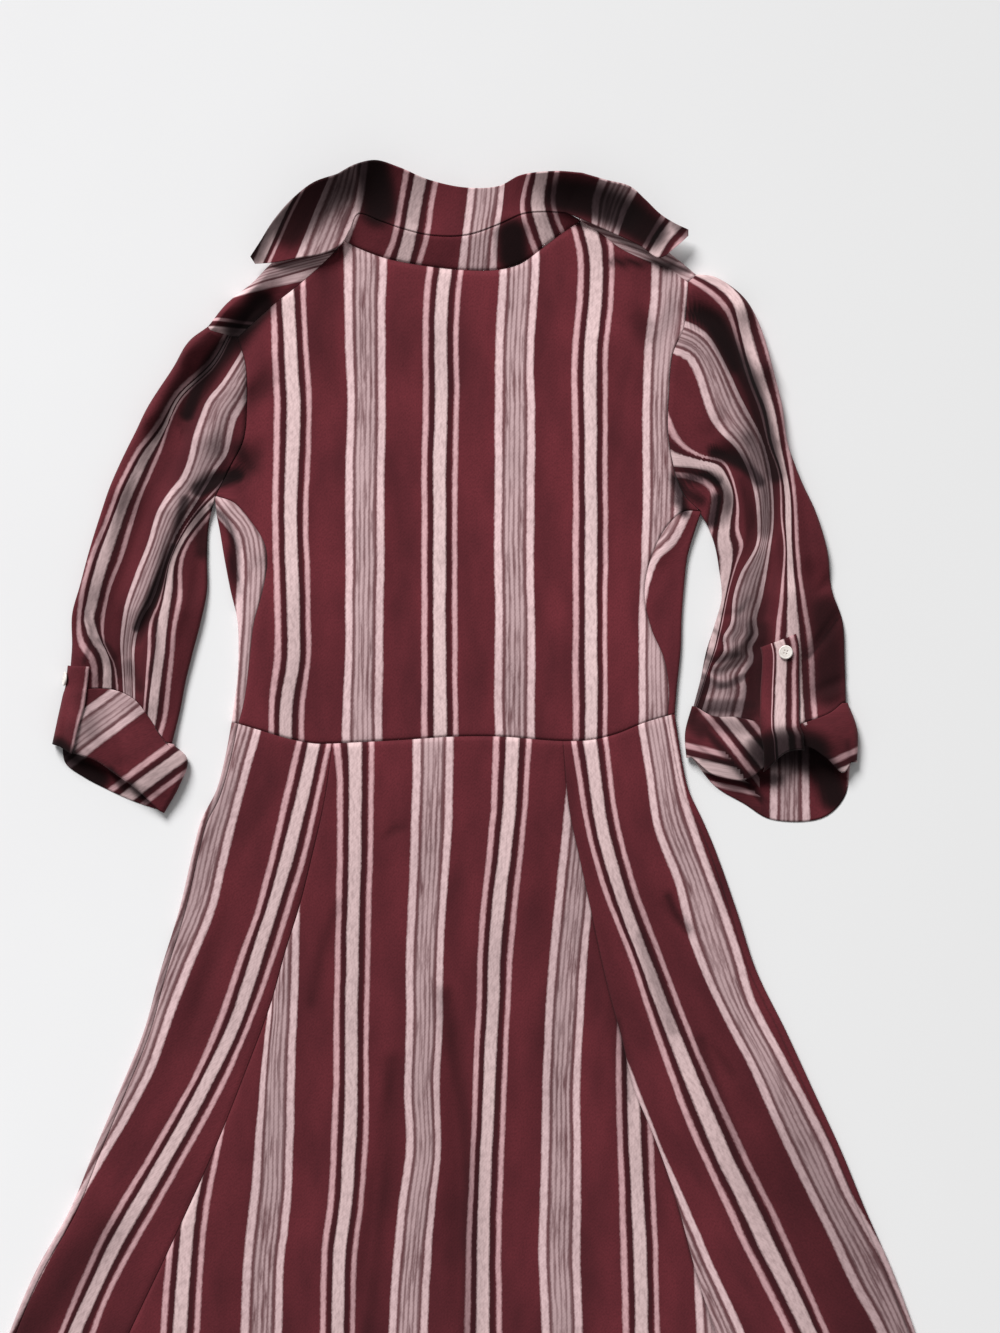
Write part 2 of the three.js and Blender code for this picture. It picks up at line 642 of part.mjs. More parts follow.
// The stand rises from the neck seam and the collar leaf goes on from its upper edge
function collar() {
  const neck = smooth(NECK_SEAM, COUNT.neck).map(onTop);
  const standTop = smooth(COLLAR.standTop, COUNT.neck);
  const rows = Array.from({ length: COUNT.stand + 1 }, (_, k) => (
    neck.map((point, column) => mix(point, standTop[column], k / COUNT.stand))
  ));
  const stand = new Surface().add(rows);
  const edge = [
    ...smooth(COLLAR.leftEdge, COUNT.leafEnd),
    ...standTop.slice(1),
    ...smooth(COLLAR.rightEdge, COUNT.leafEnd).slice(1),
  ];
  const rim = [
    ...smooth(COLLAR.leftRim, COUNT.leafEnd),
    ...smooth(COLLAR.middleRim, COUNT.neck).slice(1),
    ...smooth(COLLAR.rightRim, COUNT.leafEnd).slice(1),
  ];
  const leafRows = Array.from({ length: COUNT.leaf + 1 }, (_, k) => {
    const share = k / COUNT.leaf;
    return edge.map((low, column) => {
      const high = rim[column];
      const [x, y] = mix(low, high, share);
      return [x, y, low[2] + (high[2] - low[2]) * share ** COLLAR.curl];
    });
  });
  const leaf = new Surface().add(leafRows);
  return { stand, leaf };
}

const sleeves = { left: sleeveAndCuff('left'), right: sleeveAndCuff('right') };
const collarSurfaces = collar();
const bodySurfaces = {
  back_bodice: backBodice(),
  front_bodice_left: frontBodice('left'),
  front_bodice_right: frontBodice('right'),
  ...backSkirt(),
  front_skirt_left: frontSkirt('left'),
  front_skirt_right: frontSkirt('right'),
  sleeve_left: sleeves.left.sleeveTube.surface,
  sleeve_right: sleeves.right.sleeveTube.surface,
};
const bodyNormals = sharedNormals(Object.values(bodySurfaces));
Object.entries(bodySurfaces).forEach(([name, surface]) => {
  addPiece(name, wall(surface, bodyNormals, CLOTH), 'cloth');
});
['left', 'right'].forEach((side) => {
  const cuff = sleeves[side].cuffTube.surface;
  const cuffNormals = sharedNormals([cuff]);
  addPiece(`cuff_${side}`, wall(cuff, cuffNormals, CUFF_CLOTH, CUFF_GAP), 'cuff');
  const { surface, cell } = tab(side, bodyNormals, cuffNormals);
  const tabNormals = sharedNormals([surface]);
  addPiece(`tab_${side}`, wall(surface, tabNormals, TAB_CLOTH, 0), 'cuff');
  const button = addPiece(`tab_button_${side}`, buttonShape(TAB_BUTTON_RADIUS, TAB_BUTTON_THICK), 'button');
  const seat = new THREE.Vector3();
  const upward = new THREE.Vector3();
  cell.forEach((point) => {
    seat.add(new THREE.Vector3(...point).divideScalar(cell.length));
    upward.add(tabNormals.get(Surface.key(point)));
  });
  upward.normalize();
  button.position.copy(seat.addScaledVector(upward, TAB_BUTTON_LIFT));
  button.quaternion.setFromUnitVectors(new THREE.Vector3(0, 0, 1), upward);
});
const collarNormals = sharedNormals([collarSurfaces.stand, collarSurfaces.leaf]);
addPiece('collar_stand', wall(collarSurfaces.stand, collarNormals, COLLAR_CLOTH), 'collar');
addPiece('collar_leaf', wall(collarSurfaces.leaf, collarNormals, COLLAR_CLOTH), 'collar');
const strip = placket();
addPiece('front_placket', wall(strip, sharedNormals([strip]), PLACKET_CLOTH, SEAM_GAP), 'cloth');
for (let number = 0; number < BUTTON_COUNT; number += 1) {
  const button = addPiece(
    `front_button_${String(number + 1).padStart(2, '0')}`,
    buttonShape(BUTTON_RADIUS, BUTTON_THICK),
    'button',
  );
  button.position.set(0, BUTTON_TOP - number * BUTTON_STEP, 0);
}

// The origin goes to the middle of the underside
const box = new THREE.Box3().setFromObject(dress);
dress.position.set(-(box.min.x + box.max.x) / 2, -(box.min.y + box.max.y) / 2, -box.min.z);
dress.updateMatrixWorld(true);

export default dress;
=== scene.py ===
"""A striped shirt dress laid flat on its front, drawn panel by panel over its frame."""

import functools

import bpy
import numpy as np
from bpy.props import FloatProperty, FloatVectorProperty, PointerProperty
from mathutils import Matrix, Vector


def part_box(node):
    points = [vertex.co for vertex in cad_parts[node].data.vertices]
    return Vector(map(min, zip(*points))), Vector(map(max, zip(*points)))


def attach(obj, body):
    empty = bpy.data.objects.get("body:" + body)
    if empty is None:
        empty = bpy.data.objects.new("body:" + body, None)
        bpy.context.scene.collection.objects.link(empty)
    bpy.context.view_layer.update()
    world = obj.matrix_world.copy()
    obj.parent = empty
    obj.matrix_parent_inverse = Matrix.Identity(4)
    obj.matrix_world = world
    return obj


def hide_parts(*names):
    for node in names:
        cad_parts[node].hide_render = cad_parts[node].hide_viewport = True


bl_info = {
    "name": "Striped shirt dress",
    "version": (1, 0, 0),
    "blender": (4, 5, 0),
    "location": "3D View > Sidebar > Dress",
    "description": "Draws the panels, collar, cuffs, tabs and buttons of a shirt dress laid flat",
    "category": "Add Mesh",
}

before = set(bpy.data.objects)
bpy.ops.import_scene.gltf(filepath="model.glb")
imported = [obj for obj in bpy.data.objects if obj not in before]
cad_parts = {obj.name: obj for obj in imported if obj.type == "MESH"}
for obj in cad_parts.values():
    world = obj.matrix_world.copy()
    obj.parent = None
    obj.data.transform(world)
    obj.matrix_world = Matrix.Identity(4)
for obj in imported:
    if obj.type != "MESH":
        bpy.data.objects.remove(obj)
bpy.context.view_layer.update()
MM = 0.001

# Sizes shared with the frame, in millimetres. x = 0 is the centre back, y = 0 the waist, z = 0 the floor.
LAY = 5.2                     # thickness of the dress where nothing lifts it
FOLD_REACH = 5                # widest rounding of a folded side
SIDE_WRAP = 3                 # how far the skirt fronts reach over the side fold
CUFF_PROUD = 1.4              # how far the rolled cuff stands out from the sleeve
PLACKET_WIDTH = 30
PLACKET_LIFT = 1.5            # the placket lies on its buttons
TAB_RISE = 2.6                # outer side of a tab above the cloth under it
TAB_TURN = {"out": 3, "down": 5}
NECK_FRONT_Y = 352
HEM_Y = -760
FRONT_HEM_Y = -758
BUTTON_TOP = 335
BUTTON_STEP = 99
BUTTON_COUNT = 11
BUTTONS = {"tab": (6.0, 2.2), "front": (5.5, 1.2)}   # radius and thickness
SEAM = 0.3                    # gap between panels
LEAST_LAY = 3.2               # the upper layer is never lower than this
TAB_COLUMNS = 15
VIEW_MIDDLE = (41.2, 196.0)   # the camera looks straight down on it, in the row frame
VIEW_SHAPE = 0.75             # width of the picture over its height
SENSOR = 36.0
FLOOR_REACH = 2.0             # half the floor's side, in metres
WINDOW_SIDE = (-0.4, 0.75, 0.62)
WINDOW_ANGLE = 0.45           # how wide the window light is seen, in radians

# The placket's box places the drawing in the row frame
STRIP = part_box("front_placket")
CENTRE_X = (STRIP[0][0] + STRIP[1][0]) / 2 / MM
WAIST_Y = STRIP[0][1] / MM - FRONT_HEM_Y - SEAM

# Grid cells along each edge
CELLS = {
    "arc": 8, "side": 90, "shoulder": 40, "neck": 120, "front": 30, "wrap": 10,
    "roll": 30, "cap": 36, "gore": 40, "skirt": 190, "gore_skirt": 70, "panel": 150, "sleeve": 150,
    "cuff": 40, "leaf_end": 60, "leaf": 36, "stand": 14, "turn_in": 6, "placket": 240,
    "placket_across": 8, "button_face": 25, "button_round": 64,
}

# Outlines seen from above. Each row is (x, y).
WAIST = {
    "left": [(-186, 14), (-166, 8), (-142, 1), (-120, -3), (-105, -3)],
    "middle": [(-105, -3), (-47, 0), (0, 3), (39, 3), (77, 0), (93, -1)],
    "right": [(93, -1), (116, 0), (138, 5), (163, 15), (183, 21)],
}
WAIST_CORNER = {"left": (-192, 15), "right": (189, 22)}
NECK_SEAM = [
    (-95, 429), (-84, 423), (-60, 414), (-30, 408), (4, 404), (37, 404), (56, 409), (73, 421),
    (90, 434), (108, 446),
]
SIDES = {
    "left": {
        "outwards": -1,
        "shoulder_back": [(-95, 429), (-112, 411), (-133, 392), (-157, 373), (-187, 346)],
        "shoulder_front": [
            (-103, 442), (-133, 428), (-155, 412), (-172, 394), (-192, 378), (-212, 355),
        ],
        "armhole": [(-187, 346), (-180, 322), (-179, 292), (-182, 258), (-194, 234)],
        "underarm": (-206, 207),
        "side": [
            (-205, 195), (-202, 179), (-198, 155), (-193, 129), (-187, 103), (-186, 77), (-187, 52),
        ],
        "side_seam": [
            (-190, 204), (-176, 189), (-163, 168), (-161, 153), (-165, 129), (-173, 99), (-177, 64),
            (-181, 34),
        ],
        "sleeve_outer": [
            (-227, 343), (-243, 318), (-260, 292), (-273, 267), (-286, 241), (-297, 215), (-306, 189),
            (-314, 163), (-322, 133), (-329, 108), (-329, 77), (-332, 41),
        ],
        "sleeve_inner": [
            (-209, 197), (-212, 181), (-213, 155), (-213, 129), (-218, 103), (-225, 76), (-231, 52),
            (-236, 26), (-243, -3),
        ],
        "sleeve_end": [(-314, 44), (-292, 43), (-275, 35), (-262, 19), (-253, 5)],
        "cuff_outer": [(-336, 22), (-342, -4)],
        "cuff_inner": [(-231, -17), (-238, -39), (-251, -62)],
        "mouth_top": [(-327, -11), (-308, -17), (-292, -28), (-273, -42)],
        "mouth_low": [(-335, -20), (-319, -32), (-302, -41), (-278, -52)],
        "skirt": [
            (-198, -17), (-205, -43), (-218, -69), (-225, -95), (-237, -146), (-253, -198),
            (-267, -249), (-288, -301), (-310, -353), (-331, -404), (-360, -456), (-382, -507),
            (-426, -628), (-469, -740),
        ],
        "skirt_seam": [
            (-105, -3), (-112, -52), (-123, -101), (-133, -141), (-146, -183), (-158, -226),
            (-181, -288), (-207, -353), (-242, -430), (-280, -510), (-318, -593), (-387, -748),
        ],
    },
    "right": {
        "outwards": 1,
        "shoulder_back": [(108, 446), (125, 435), (142, 422), (163, 412), (185, 404), (200, 393)],
        "shoulder_front": [
            (112, 459), (125, 453), (139, 446), (159, 436), (178, 423), (194, 411), (207, 400),
        ],
        "armhole": [(200, 393), (197, 356), (187, 331), (184, 297), (183, 267), (187, 239), (196, 212)],
        "underarm": (211, 194),
        "side": [(206, 179), (200, 158), (197, 133), (195, 108), (194, 77), (191, 47)],
        "side_seam": [
            (196, 196), (184, 186), (173, 168), (165, 144), (163, 122), (169, 95), (180, 69), (184, 43),
        ],
        "sleeve_outer": [
            (223, 398), (242, 386), (255, 370), (265, 348), (273, 318), (281, 288), (285, 258),
            (297, 224), (310, 196), (320, 163), (324, 129), (333, 103), (335, 69), (336, 32),
        ],
        "sleeve_inner": [
            (217, 184), (223, 168), (227, 146), (229, 122), (223, 99), (216, 77), (211, 52), (205, 29),
        ],
        "sleeve_end": [(322, 24), (307, 18), (288, 13), (264, 15), (241, 20), (221, 21)],
        "cuff_outer": [(344, 9), (344, -19)],
        "cuff_inner": [(199, 6), (200, -15)],
        "mouth_top": [(333, -28), (318, -15), (301, -5), (284, -6), (269, -19), (249, -34), (224, -31)],
        "mouth_low": [(335, -49), (316, -67), (271, -68), (249, -55), (224, -40)],
        "skirt": [
            (195, -17), (201, -43), (213, -69), (224, -95), (242, -146), (259, -198), (284, -249),
            (308, -301), (332, -353), (353, -404), (376, -456), (395, -507), (430, -611), (464, -740),
        ],
        "skirt_seam": [
            (93, -1), (98, -58), (107, -101), (116, -142), (130, -206), (144, -259), (153, -297),
            (172, -343), (189, -391), (209, -464), (224, -510), (249, -593), (292, -752),
        ],
    },
}

# Tabs: share of the sleeve where each starts, and its edges as shares of the side fold or of the top
TABS = {
    "left": {"start": 14 / 15, "from_fold": 1.6 / 4, "to_top": 1.3 / 11, "button": (5, 0.14)},
    "right": {"start": 12 / 15, "from_top": 3.6 / 11, "to_top": 6.3 / 11, "button": (5, 0.33)},
}

# The collar, opened out and lifted off the neck. Each row is (x, y, z).
COLLAR = {
    "stand_top": [
        (-90, 437, 13), (-83, 451, 15), (-64, 445, 16), (-47, 439, 16), (-22, 433, 15), (9, 433, 14),
        (37, 442, 15), (58, 451, 16), (77, 453, 15), (95, 452, 14),
    ],
    "left_edge": [
        (-171, 408, 14), (-155, 409, 16), (-133, 413, 16), (-112, 417, 15), (-97, 425, 14),
        (-90, 437, 13),
    ],
    "right_edge": [
        (95, 452, 14), (116, 443, 15), (138, 433, 16), (159, 423, 17), (175, 413, 16), (190, 423, 15),
        (200, 432, 14),
    ],
    "left_rim": [
        (-175, 414, 15), (-166, 427, 19), (-155, 443, 24), (-140, 459, 31), (-120, 474, 36),
        (-99, 481, 38),
    ],
    "middle_rim": [
        (-99, 481, 38), (-84, 489, 38), (-67, 493, 36), (-47, 488, 30), (-22, 479, 21), (9, 473, 17),
        (37, 474, 18), (56, 482, 25), (86, 484, 33), (108, 482, 36),
    ],
    "right_rim": [
        (108, 482, 36), (129, 476, 36), (149, 471, 34), (162, 461, 29), (175, 450, 23), (187, 443, 18),
        (200, 437, 15),
    ],
    "curl": 2.2,
}

# Ridges of the upper layer: both ends, half width and height
RIDGES = [
    ((-135, 416), (-165, 396), 13, 5), ((-165, 396), (-198, 368), 12, 8),
    ((-198, 368), (-228, 335), 12, 9), ((-228, 335), (-262, 278), 13, 8),
    ((-262, 278), (-290, 215), 15, 6), ((-290, 215), (-313, 135), 17, 6),
    ((-186, 305), (-212, 262), 13, 4), ((-212, 262), (-240, 200), 14, 5),
    ((-240, 200), (-272, 115), 15, 5), ((-236, 110), (-262, 35), 15, 6),
    ((-318, 70), (-322, 20), 14, 8), ((-312, 5), (-264, -22), 26, 12),
    ((120, 436), (170, 412), 11, 4), ((212, 388), (244, 370), 12, 7),
    ((244, 370), (262, 320), 13, 8), ((262, 320), (278, 262), 14, 7),
    ((205, 345), (236, 268), 15, 5), ((282, 235), (302, 160), 18, 7),
    ((252, 160), (232, 80), 16, 6), ((284, 120), (286, 20), 18, 9),
    ((245, 0), (310, 4), 30, 15), ((-196, 200), (-168, 160), 9, 3),
    ((198, 196), (176, 160), 9, 3), ((-60, -250), (-100, -740), 34, 1.9),
    ((40, -300), (44, -740), 34, 1.9), ((-170, -330), (-250, -740), 34, 1.9),
    ((150, -330), (190, -740), 34, 1.9), ((250, -300), (330, -740), 34, 1.9),
    ((-290, -400), (-370, -740), 34, 1.9), ((-140, 330), (-150, 60), 22, 1.4),
    ((130, 340), (132, 60), 22, 1.4),
]

# Creases that only the cloth shows: the line that each follows, its half width on the left and on the
# right of that line, its height, and how dark it lies in the shade
CREASES = [
    ([(-166, 378), (-182, 353), (-200, 335), (-215, 315), (-226, 296), (-233, 272)], 12, 7, -5.5, 1.0),
    ([(-243, 172), (-251, 139), (-262, 110), (-273, 84)], 4, 6, -4.5, 1.0),
    ([(-230, 206), (-221, 189), (-217, 165)], 9, 9, -2.5, 0.65),
    ([(-297, 69), (-286, 62), (-274, 50)], 9, 9, -3.0, 0.5),
    ([(-226, 316), (-240, 296), (-252, 272), (-262, 244)], 6, 6, -2.5, 0.75),
    ([(-271, 232), (-283, 198), (-292, 165)], 4, 5, -1.8, 0.35),
    ([(-324, 122), (-331, 86), (-321, 48)], 4, 5, 1.6, 0.0),
    ([(-305, 114), (-314, 93), (-307, 73), (-295, 43)], 4, 4, 1.8, 0.0),
    ([(-309, 86), (-302, 65), (-307, 43)], 3, 3, -2.0, 0.4),
    ([(-261, 208), (-278, 162), (-290, 120)], 5, 8, -2.0, 0.15),
    ([(-209, 292), (-228, 249), (-249, 200)], 7, 6, 1.6, 0.0),
    ([(-280, 249), (-295, 206), (-309, 155)], 5, 4, -1.6, 0.15),
    ([(-219, 155), (-228, 112), (-238, 77)], 6, 5, -1.6, 0.1),
    ([(-241, 155), (-249, 112), (-257, 69)], 4, 4, 1.6, 0.0),
    ([(-159, 318), (-169, 301), (-180, 292)], 10, 8, -1.5, 0.55),
    ([(-169, 253), (-178, 236), (-185, 222)], 9, 8, -2.0, 0.75),
    ([(-223, 215), (-206, 225), (-183, 229)], 6, 5, -3.0, 1.0),
    ([(-188, 172), (-191, 150), (-187, 127)], 5, 5, -1.5, 0.9),
    ([(-200, 209), (-176, 189), (-161, 158)], 4, 5, 1.4, 0.0),
    ([
        (206, 368), (220, 362), (232, 346), (242, 324), (251, 304), (259, 282), (265, 261), (270, 239),
        (273, 215), (273, 189),
    ], 8, 10, -6.0, 0.8),
    ([(221, 248), (242, 244), (264, 229)], 7, 6, -3.0, 0.95),
    ([(190, 224), (202, 227), (216, 220)], 6, 7, -2.5, 1.0),
    ([(226, 224), (235, 206), (231, 186)], 5, 5, -2.5, 0.9),
    ([(249, 222), (254, 196), (254, 175), (249, 155)], 6, 5, -3.0, 0.7),
    ([(150, 368), (161, 357), (169, 339)], 10, 10, -1.2, 0.5),
    ([(192, 382), (187, 363), (180, 342)], 8, 8, -1.5, 0.35),
    ([(266, 139), (260, 103), (255, 82), (260, 29)], 6, 6, -3.0, 0.7),
    ([(333, 112), (316, 88), (302, 72)], 5, 5, -3.0, 0.85),
    ([(335, 52), (310, 41)], 5, 5, -2.5, 0.8),
    ([(267, 83), (252, 73), (236, 60)], 5, 5, -2.5, 0.6),
    ([(212, 43), (209, 26), (204, 10)], 5, 5, -2.5, 0.7),
    ([(202, 22), (221, 24), (240, 23), (255, 19), (269, 26)], 3, 4, -2.0, 0.75),
    ([(249, 21), (255, 2), (266, -21)], 2, 8, 2.4, 0.0),
    ([(202, 2), (224, -14), (255, -29)], 7, 2, 2.0, 0.0),
    ([(216, 115), (230, 107), (247, 110)], 4, 4, -1.8, 0.35),
    ([(211, 89), (226, 77), (243, 81), (255, 95)], 4, 4, 1.8, 0.0),
    ([(209, 69), (224, 58), (242, 62)], 4, 4, -2.0, 0.6),
    ([(218, 43), (230, 50), (243, 43)], 4, 4, 2.0, 0.0),
    ([(309, 124), (322, 138), (329, 150)], 5, 5, -1.6, 0.3),
    ([(307, 34), (321, 31), (336, 34)], 4, 5, -1.8, 0.4),
    ([(-321, 86), (-309, 77), (-302, 62)], 3, 4, -1.6, 0.35),
    ([(-288, 112), (-281, 86), (-286, 62)], 4, 5, -1.6, 0.3),
    ([(-262, 86), (-254, 69), (-257, 43)], 5, 5, -1.4, 0.25),
    ([(-302, 34), (-290, 9), (-281, -26)], 6, 5, -1.6, 0.15),
    ([(-316, -3), (-290, -26), (-254, -45)], 6, 3, 1.6, 0.0),
    ([(240, 356), (250, 325), (264, 296), (273, 265), (281, 222)], 5, 4, 2.0, 0.0),
    ([(231, 158), (223, 120), (216, 77)], 5, 5, -1.5, 0.15),
    ([(245, 129), (236, 86), (242, 41)], 4, 4, 1.6, 0.0),
    ([(295, 206), (304, 155), (307, 115)], 5, 6, -1.6, 0.15),
    ([(276, 206), (278, 155), (273, 112)], 4, 4, 1.4, 0.0),
    ([(211, 258), (224, 267), (235, 286)], 6, 6, -1.4, 0.1),
    ([(0, -232), (3, -344), (6, -430), (7, -510)], 9, 14, -1.8, 0.35),
    ([(-68, -374), (-77, -439), (-87, -510)], 10, 7, -1.5, 0.3),
    ([(-54, -292), (-59, -327), (-64, -361)], 5, 5, -1.0, 0.25),
    ([(175, -136), (188, -151), (204, -167)], 4, 5, -1.2, 0.4),
    ([(218, -258), (230, -273), (243, -292)], 4, 6, -1.4, 0.45),
    ([(73, -74), (89, -105), (106, -139)], 4, 5, -0.7, 0.15),
    ([(56, -86), (71, -114), (87, -144)], 4, 4, -0.6, 0.1),
    ([(-61, -84), (-51, -76), (-40, -74)], 3, 4, -0.9, 0.3),
    ([(90, -138), (112, -181), (125, -232)], 6, 9, -0.9, 0.12),
    ([(135, -232), (147, -292), (144, -353)], 7, 8, -1.2, 0.3),
    ([(-116, -86), (-133, -163), (-137, -224)], 6, 9, -0.9, 0.12),
    ([(-90, -206), (-95, -275), (-90, -344)], 8, 6, 1.3, 0.0),
    ([(-46, -17), (-40, -103), (-49, -189)], 10, 8, 1.0, 0.0),
    ([(13, -310), (18, -396), (16, -510)], 7, 9, 1.6, 0.0),
    ([(116, -258), (125, -344), (135, -439)], 9, 7, 1.4, 0.0),
    ([(202, -189), (221, -249), (252, -318)], 9, 7, 1.6, 0.0),
    ([(56, -34), (49, -103), (52, -163)], 7, 8, 1.0, 0.0),
    ([(-219, -172), (-238, -232), (-262, -292)], 8, 7, 1.2, 0.0),
    ([(-194, -138), (-212, -206), (-233, -267)], 6, 8, -1.1, 0.15),
    ([(211, -69), (224, -103), (235, -146)], 5, 6, -1.4, 0.3),
    ([(22, 378), (27, 310), (23, 249)], 10, 9, 0.8, 0.0),
    ([(125, 310), (130, 241), (125, 155)], 9, 10, -0.8, 0.12),
    ([(52, 155), (60, 86), (56, 17)], 12, 12, -0.8, 0.08),
    ([(-108, 406), (-111, 353), (-108, 292)], 10, 12, -0.9, 0.25),
    ([(-52, 267), (-46, 189), (-51, 86)], 12, 12, -0.7, 0.1),
]

# Shade between the layers, which a height can't show: the line, half width, depth and sharpness
SHADES = {
    "dress": [
        ([(-166, 375), (-176, 363), (-187, 351)], 13, 1.0, 5),
        ([(-188, 349), (-204, 332), (-216, 313), (-224, 296), (-230, 280)], 8, 1.0, 4),
        ([(-240, 289), (-254, 267), (-266, 239)], 9, 0.5, 2),
        ([(-219, 215), (-206, 222), (-187, 228)], 8, 1.0, 6),
        ([(-164, 402), (-144, 411), (-123, 418)], 12, 0.4, 2),
        ([(-309, 120), (-297, 69), (-288, 34)], 24, 0.32, 2),
        ([(249, 155), (245, 86), (241, 34)], 26, 0.35, 2),
        ([(190, 225), (194, 206), (197, 196)], 6, 1.0, 4),
        ([(-9, -219), (0, -275), (10, -361), (10, -510)], 9, 0.55, 2),
        ([(-55, -275), (-58, -361), (-66, -430), (-75, -510)], 8, 0.42, 2),
        ([(-101, -142), (-114, -181), (-123, -224)], 6, 0.35, 2),
        ([(-6, -215), (-3, -258), (1, -301)], 5, 0.5, 2),
        ([(140, -241), (145, -275), (149, -310)], 4, 0.5, 2),
        ([(183, -134), (190, -150), (200, -163)], 5, 0.7, 2),
        ([(159, -168), (172, -206), (187, -249)], 6, 0.45, 2),
        ([(211, -258), (224, -301), (245, -353)], 8, 0.45, 2),
        ([(-199, -43), (-223, -103), (-249, -189), (-288, -275)], 9, 0.25, 2),
        ([(-133, 120), (-137, 69), (-133, 0)], 14, 0.12, 2),
        ([(73, -103), (80, -189), (77, -310)], 14, 0.15, 2),
        ([(-231, 206), (-236, 187), (-242, 167)], 5, 0.9, 3),
        ([(-200, 248), (-197, 234)], 9, 0.5, 2),
        ([(-185, 249), (-176, 236)], 10, 0.85, 2),
        ([(-209, 201), (-195, 186), (-189, 165), (-187, 138)], 3.5, 0.9, 3),
        ([(-221, 203), (-218, 182), (-216, 162)], 8, 0.75, 3),
        ([(-242, 167), (-252, 143), (-261, 122), (-273, 96)], 4.5, 1.0, 4),
        ([(-310, 86), (-297, 65), (-281, 43)], 5, 0.45, 2),
        ([(-140, 418), (-118, 421), (-99, 422)], 4, 0.8, 3),
        ([(135, 411), (168, 409), (200, 404)], 4, 0.85, 3),
        ([(207, 366), (221, 359), (231, 344), (243, 322)], 11, 1.0, 5),
        ([(245, 322), (256, 298), (263, 275), (269, 253), (274, 227)], 9, 0.95, 5),
        ([(255, 258), (266, 232), (269, 206), (266, 181)], 10, 0.72, 3),
        ([(223, 247), (240, 241), (254, 232), (262, 222)], 7, 1.0, 5),
        ([(194, 218), (193, 206)], 7, 1.0, 4),
        ([(197, 213), (205, 210), (211, 206)], 6, 0.85, 3),
        ([(202, 224), (216, 227), (226, 222)], 6, 1.0, 4),
        ([(225, 208), (221, 187)], 6, 1.0, 4),
        ([(259, 95), (259, 62), (255, 34), (249, 22)], 12, 0.82, 4),
        ([(319, 110), (321, 77), (319, 45)], 17, 0.8, 4),
        ([(245, 86), (233, 58), (236, 29)], 9, 0.4, 2),
        ([(206, 47), (211, 30), (231, 28), (254, 30)], 9, 0.88, 4),
        ([(241, 120), (235, 95)], 8, 0.35, 2),
        ([(207, 79), (223, 69), (243, 74)], 4, 0.8, 3),
        ([(212, 55), (230, 47), (249, 55)], 4.5, 0.85, 3),
        ([(202, 31), (211, 41), (216, 48)], 7, 0.9, 3),
        ([(252, 122), (242, 107)], 4, 0.6, 2),
        ([(221, 96), (230, 86), (228, 74)], 3, 0.6, 2),
        ([(-317, 112), (-312, 89), (-317, 67)], 3, 0.6, 2),
        ([(-305, 86), (-295, 76), (-288, 55)], 4, 0.7, 3),
        ([(-280, 65), (-271, 45)], 6, 0.6, 2),
        ([(-261, 120), (-255, 86), (-262, 55)], 3, 0.5, 2),
        ([(-300, 189), (-309, 155), (-314, 129)], 3, 0.4, 2),
        ([(-254, 258), (-266, 225), (-278, 189)], 3, 0.35, 2),
        ([(329, 105), (316, 86), (304, 72)], 4, 0.9, 2),
        ([(329, 55), (310, 43)], 4, 0.8, 2),
        ([(280, -361), (322, -430), (374, -510)], 50, 0.4, 2),
        ([(159, -138), (211, -232), (262, -335)], 22, 0.22, 2),
        ([(-305, -421), (-335, -464), (-366, -510)], 22, 0.5, 2),
        ([(90, -17), (116, -138), (159, -258)], 12, 0.15, 2),
    ],
    "collar": [
        ([(-171, 415), (-163, 432), (-150, 445)], 9, 0.85, 3),
        ([(-142, 439), (-120, 461), (-95, 478)], 19, 0.88, 5),
        ([(-71, 485), (-67, 471), (-65, 456)], 18, 1.0, 6),
        ([(-39, 452), (-25, 482)], 10, 0.35, 2),
        ([(49, 433), (50, 416)], 15, 1.0, 6),
        ([(92, 466), (114, 462), (141, 452), (166, 436)], 17, 1.0, 6),
        ([(190, 442), (199, 433)], 6, 0.6, 3),
        ([(73, 476), (83, 445)], 12, 0.3, 2),
    ],
    "cuff_left": [
        ([(-340, -7), (-326, -20), (-307, -34)], 11, 1.0, 5),
        ([(-295, -26), (-285, -41)], 4, 0.75, 3),
        ([(-276, -40), (-266, -53)], 4, 0.75, 3),
        ([(-319, 34), (-305, 0)], 8, 0.25, 2),
    ],
    "cuff_right": [
        ([(266, -10), (285, -7), (304, -10)], 19, 1.0, 6),
        ([(312, -21), (321, -34), (326, -48)], 14, 1.0, 6),
        ([(255, -31), (276, -34)], 7, 0.8, 3),
        ([(242, -53), (262, -62)], 9, 0.5, 2),
        ([(200, 21), (212, 10)], 10, 0.8, 3),
        ([(212, -17), (240, -20)], 2, 0.6, 2),
        ([(214, 10), (239, -20), (264, -52)], 4, 0.8, 3),
        ([(203, 15), (230, 13), (258, 11)], 8, 0.6, 3),
        ([(259, 21), (262, -3)], 6, 0.55, 2),
        ([(336, -2), (340, -17)], 3, 0.4, 2),
    ],
}

# Shade that lies evenly on a part
EVEN_SHADE = {
    "sleeve_left": 0.26, "sleeve_right": 0.2, "cuff_left": 0.25, "cuff_right": 0.25, "collar": 0.04,
}
SKIRT_SHADE = {"depth": 0.2, "top": 120, "run": 260}   # it sets in down the dress over this run
# Painted shade of hollows: the cloth is darkened where it lies lower than the blurred cloth around it
HOLLOW_SHADE = {"blur": 30, "deep": 7.0, "most": 0.6}   # how low under the cloth around it is fully dark

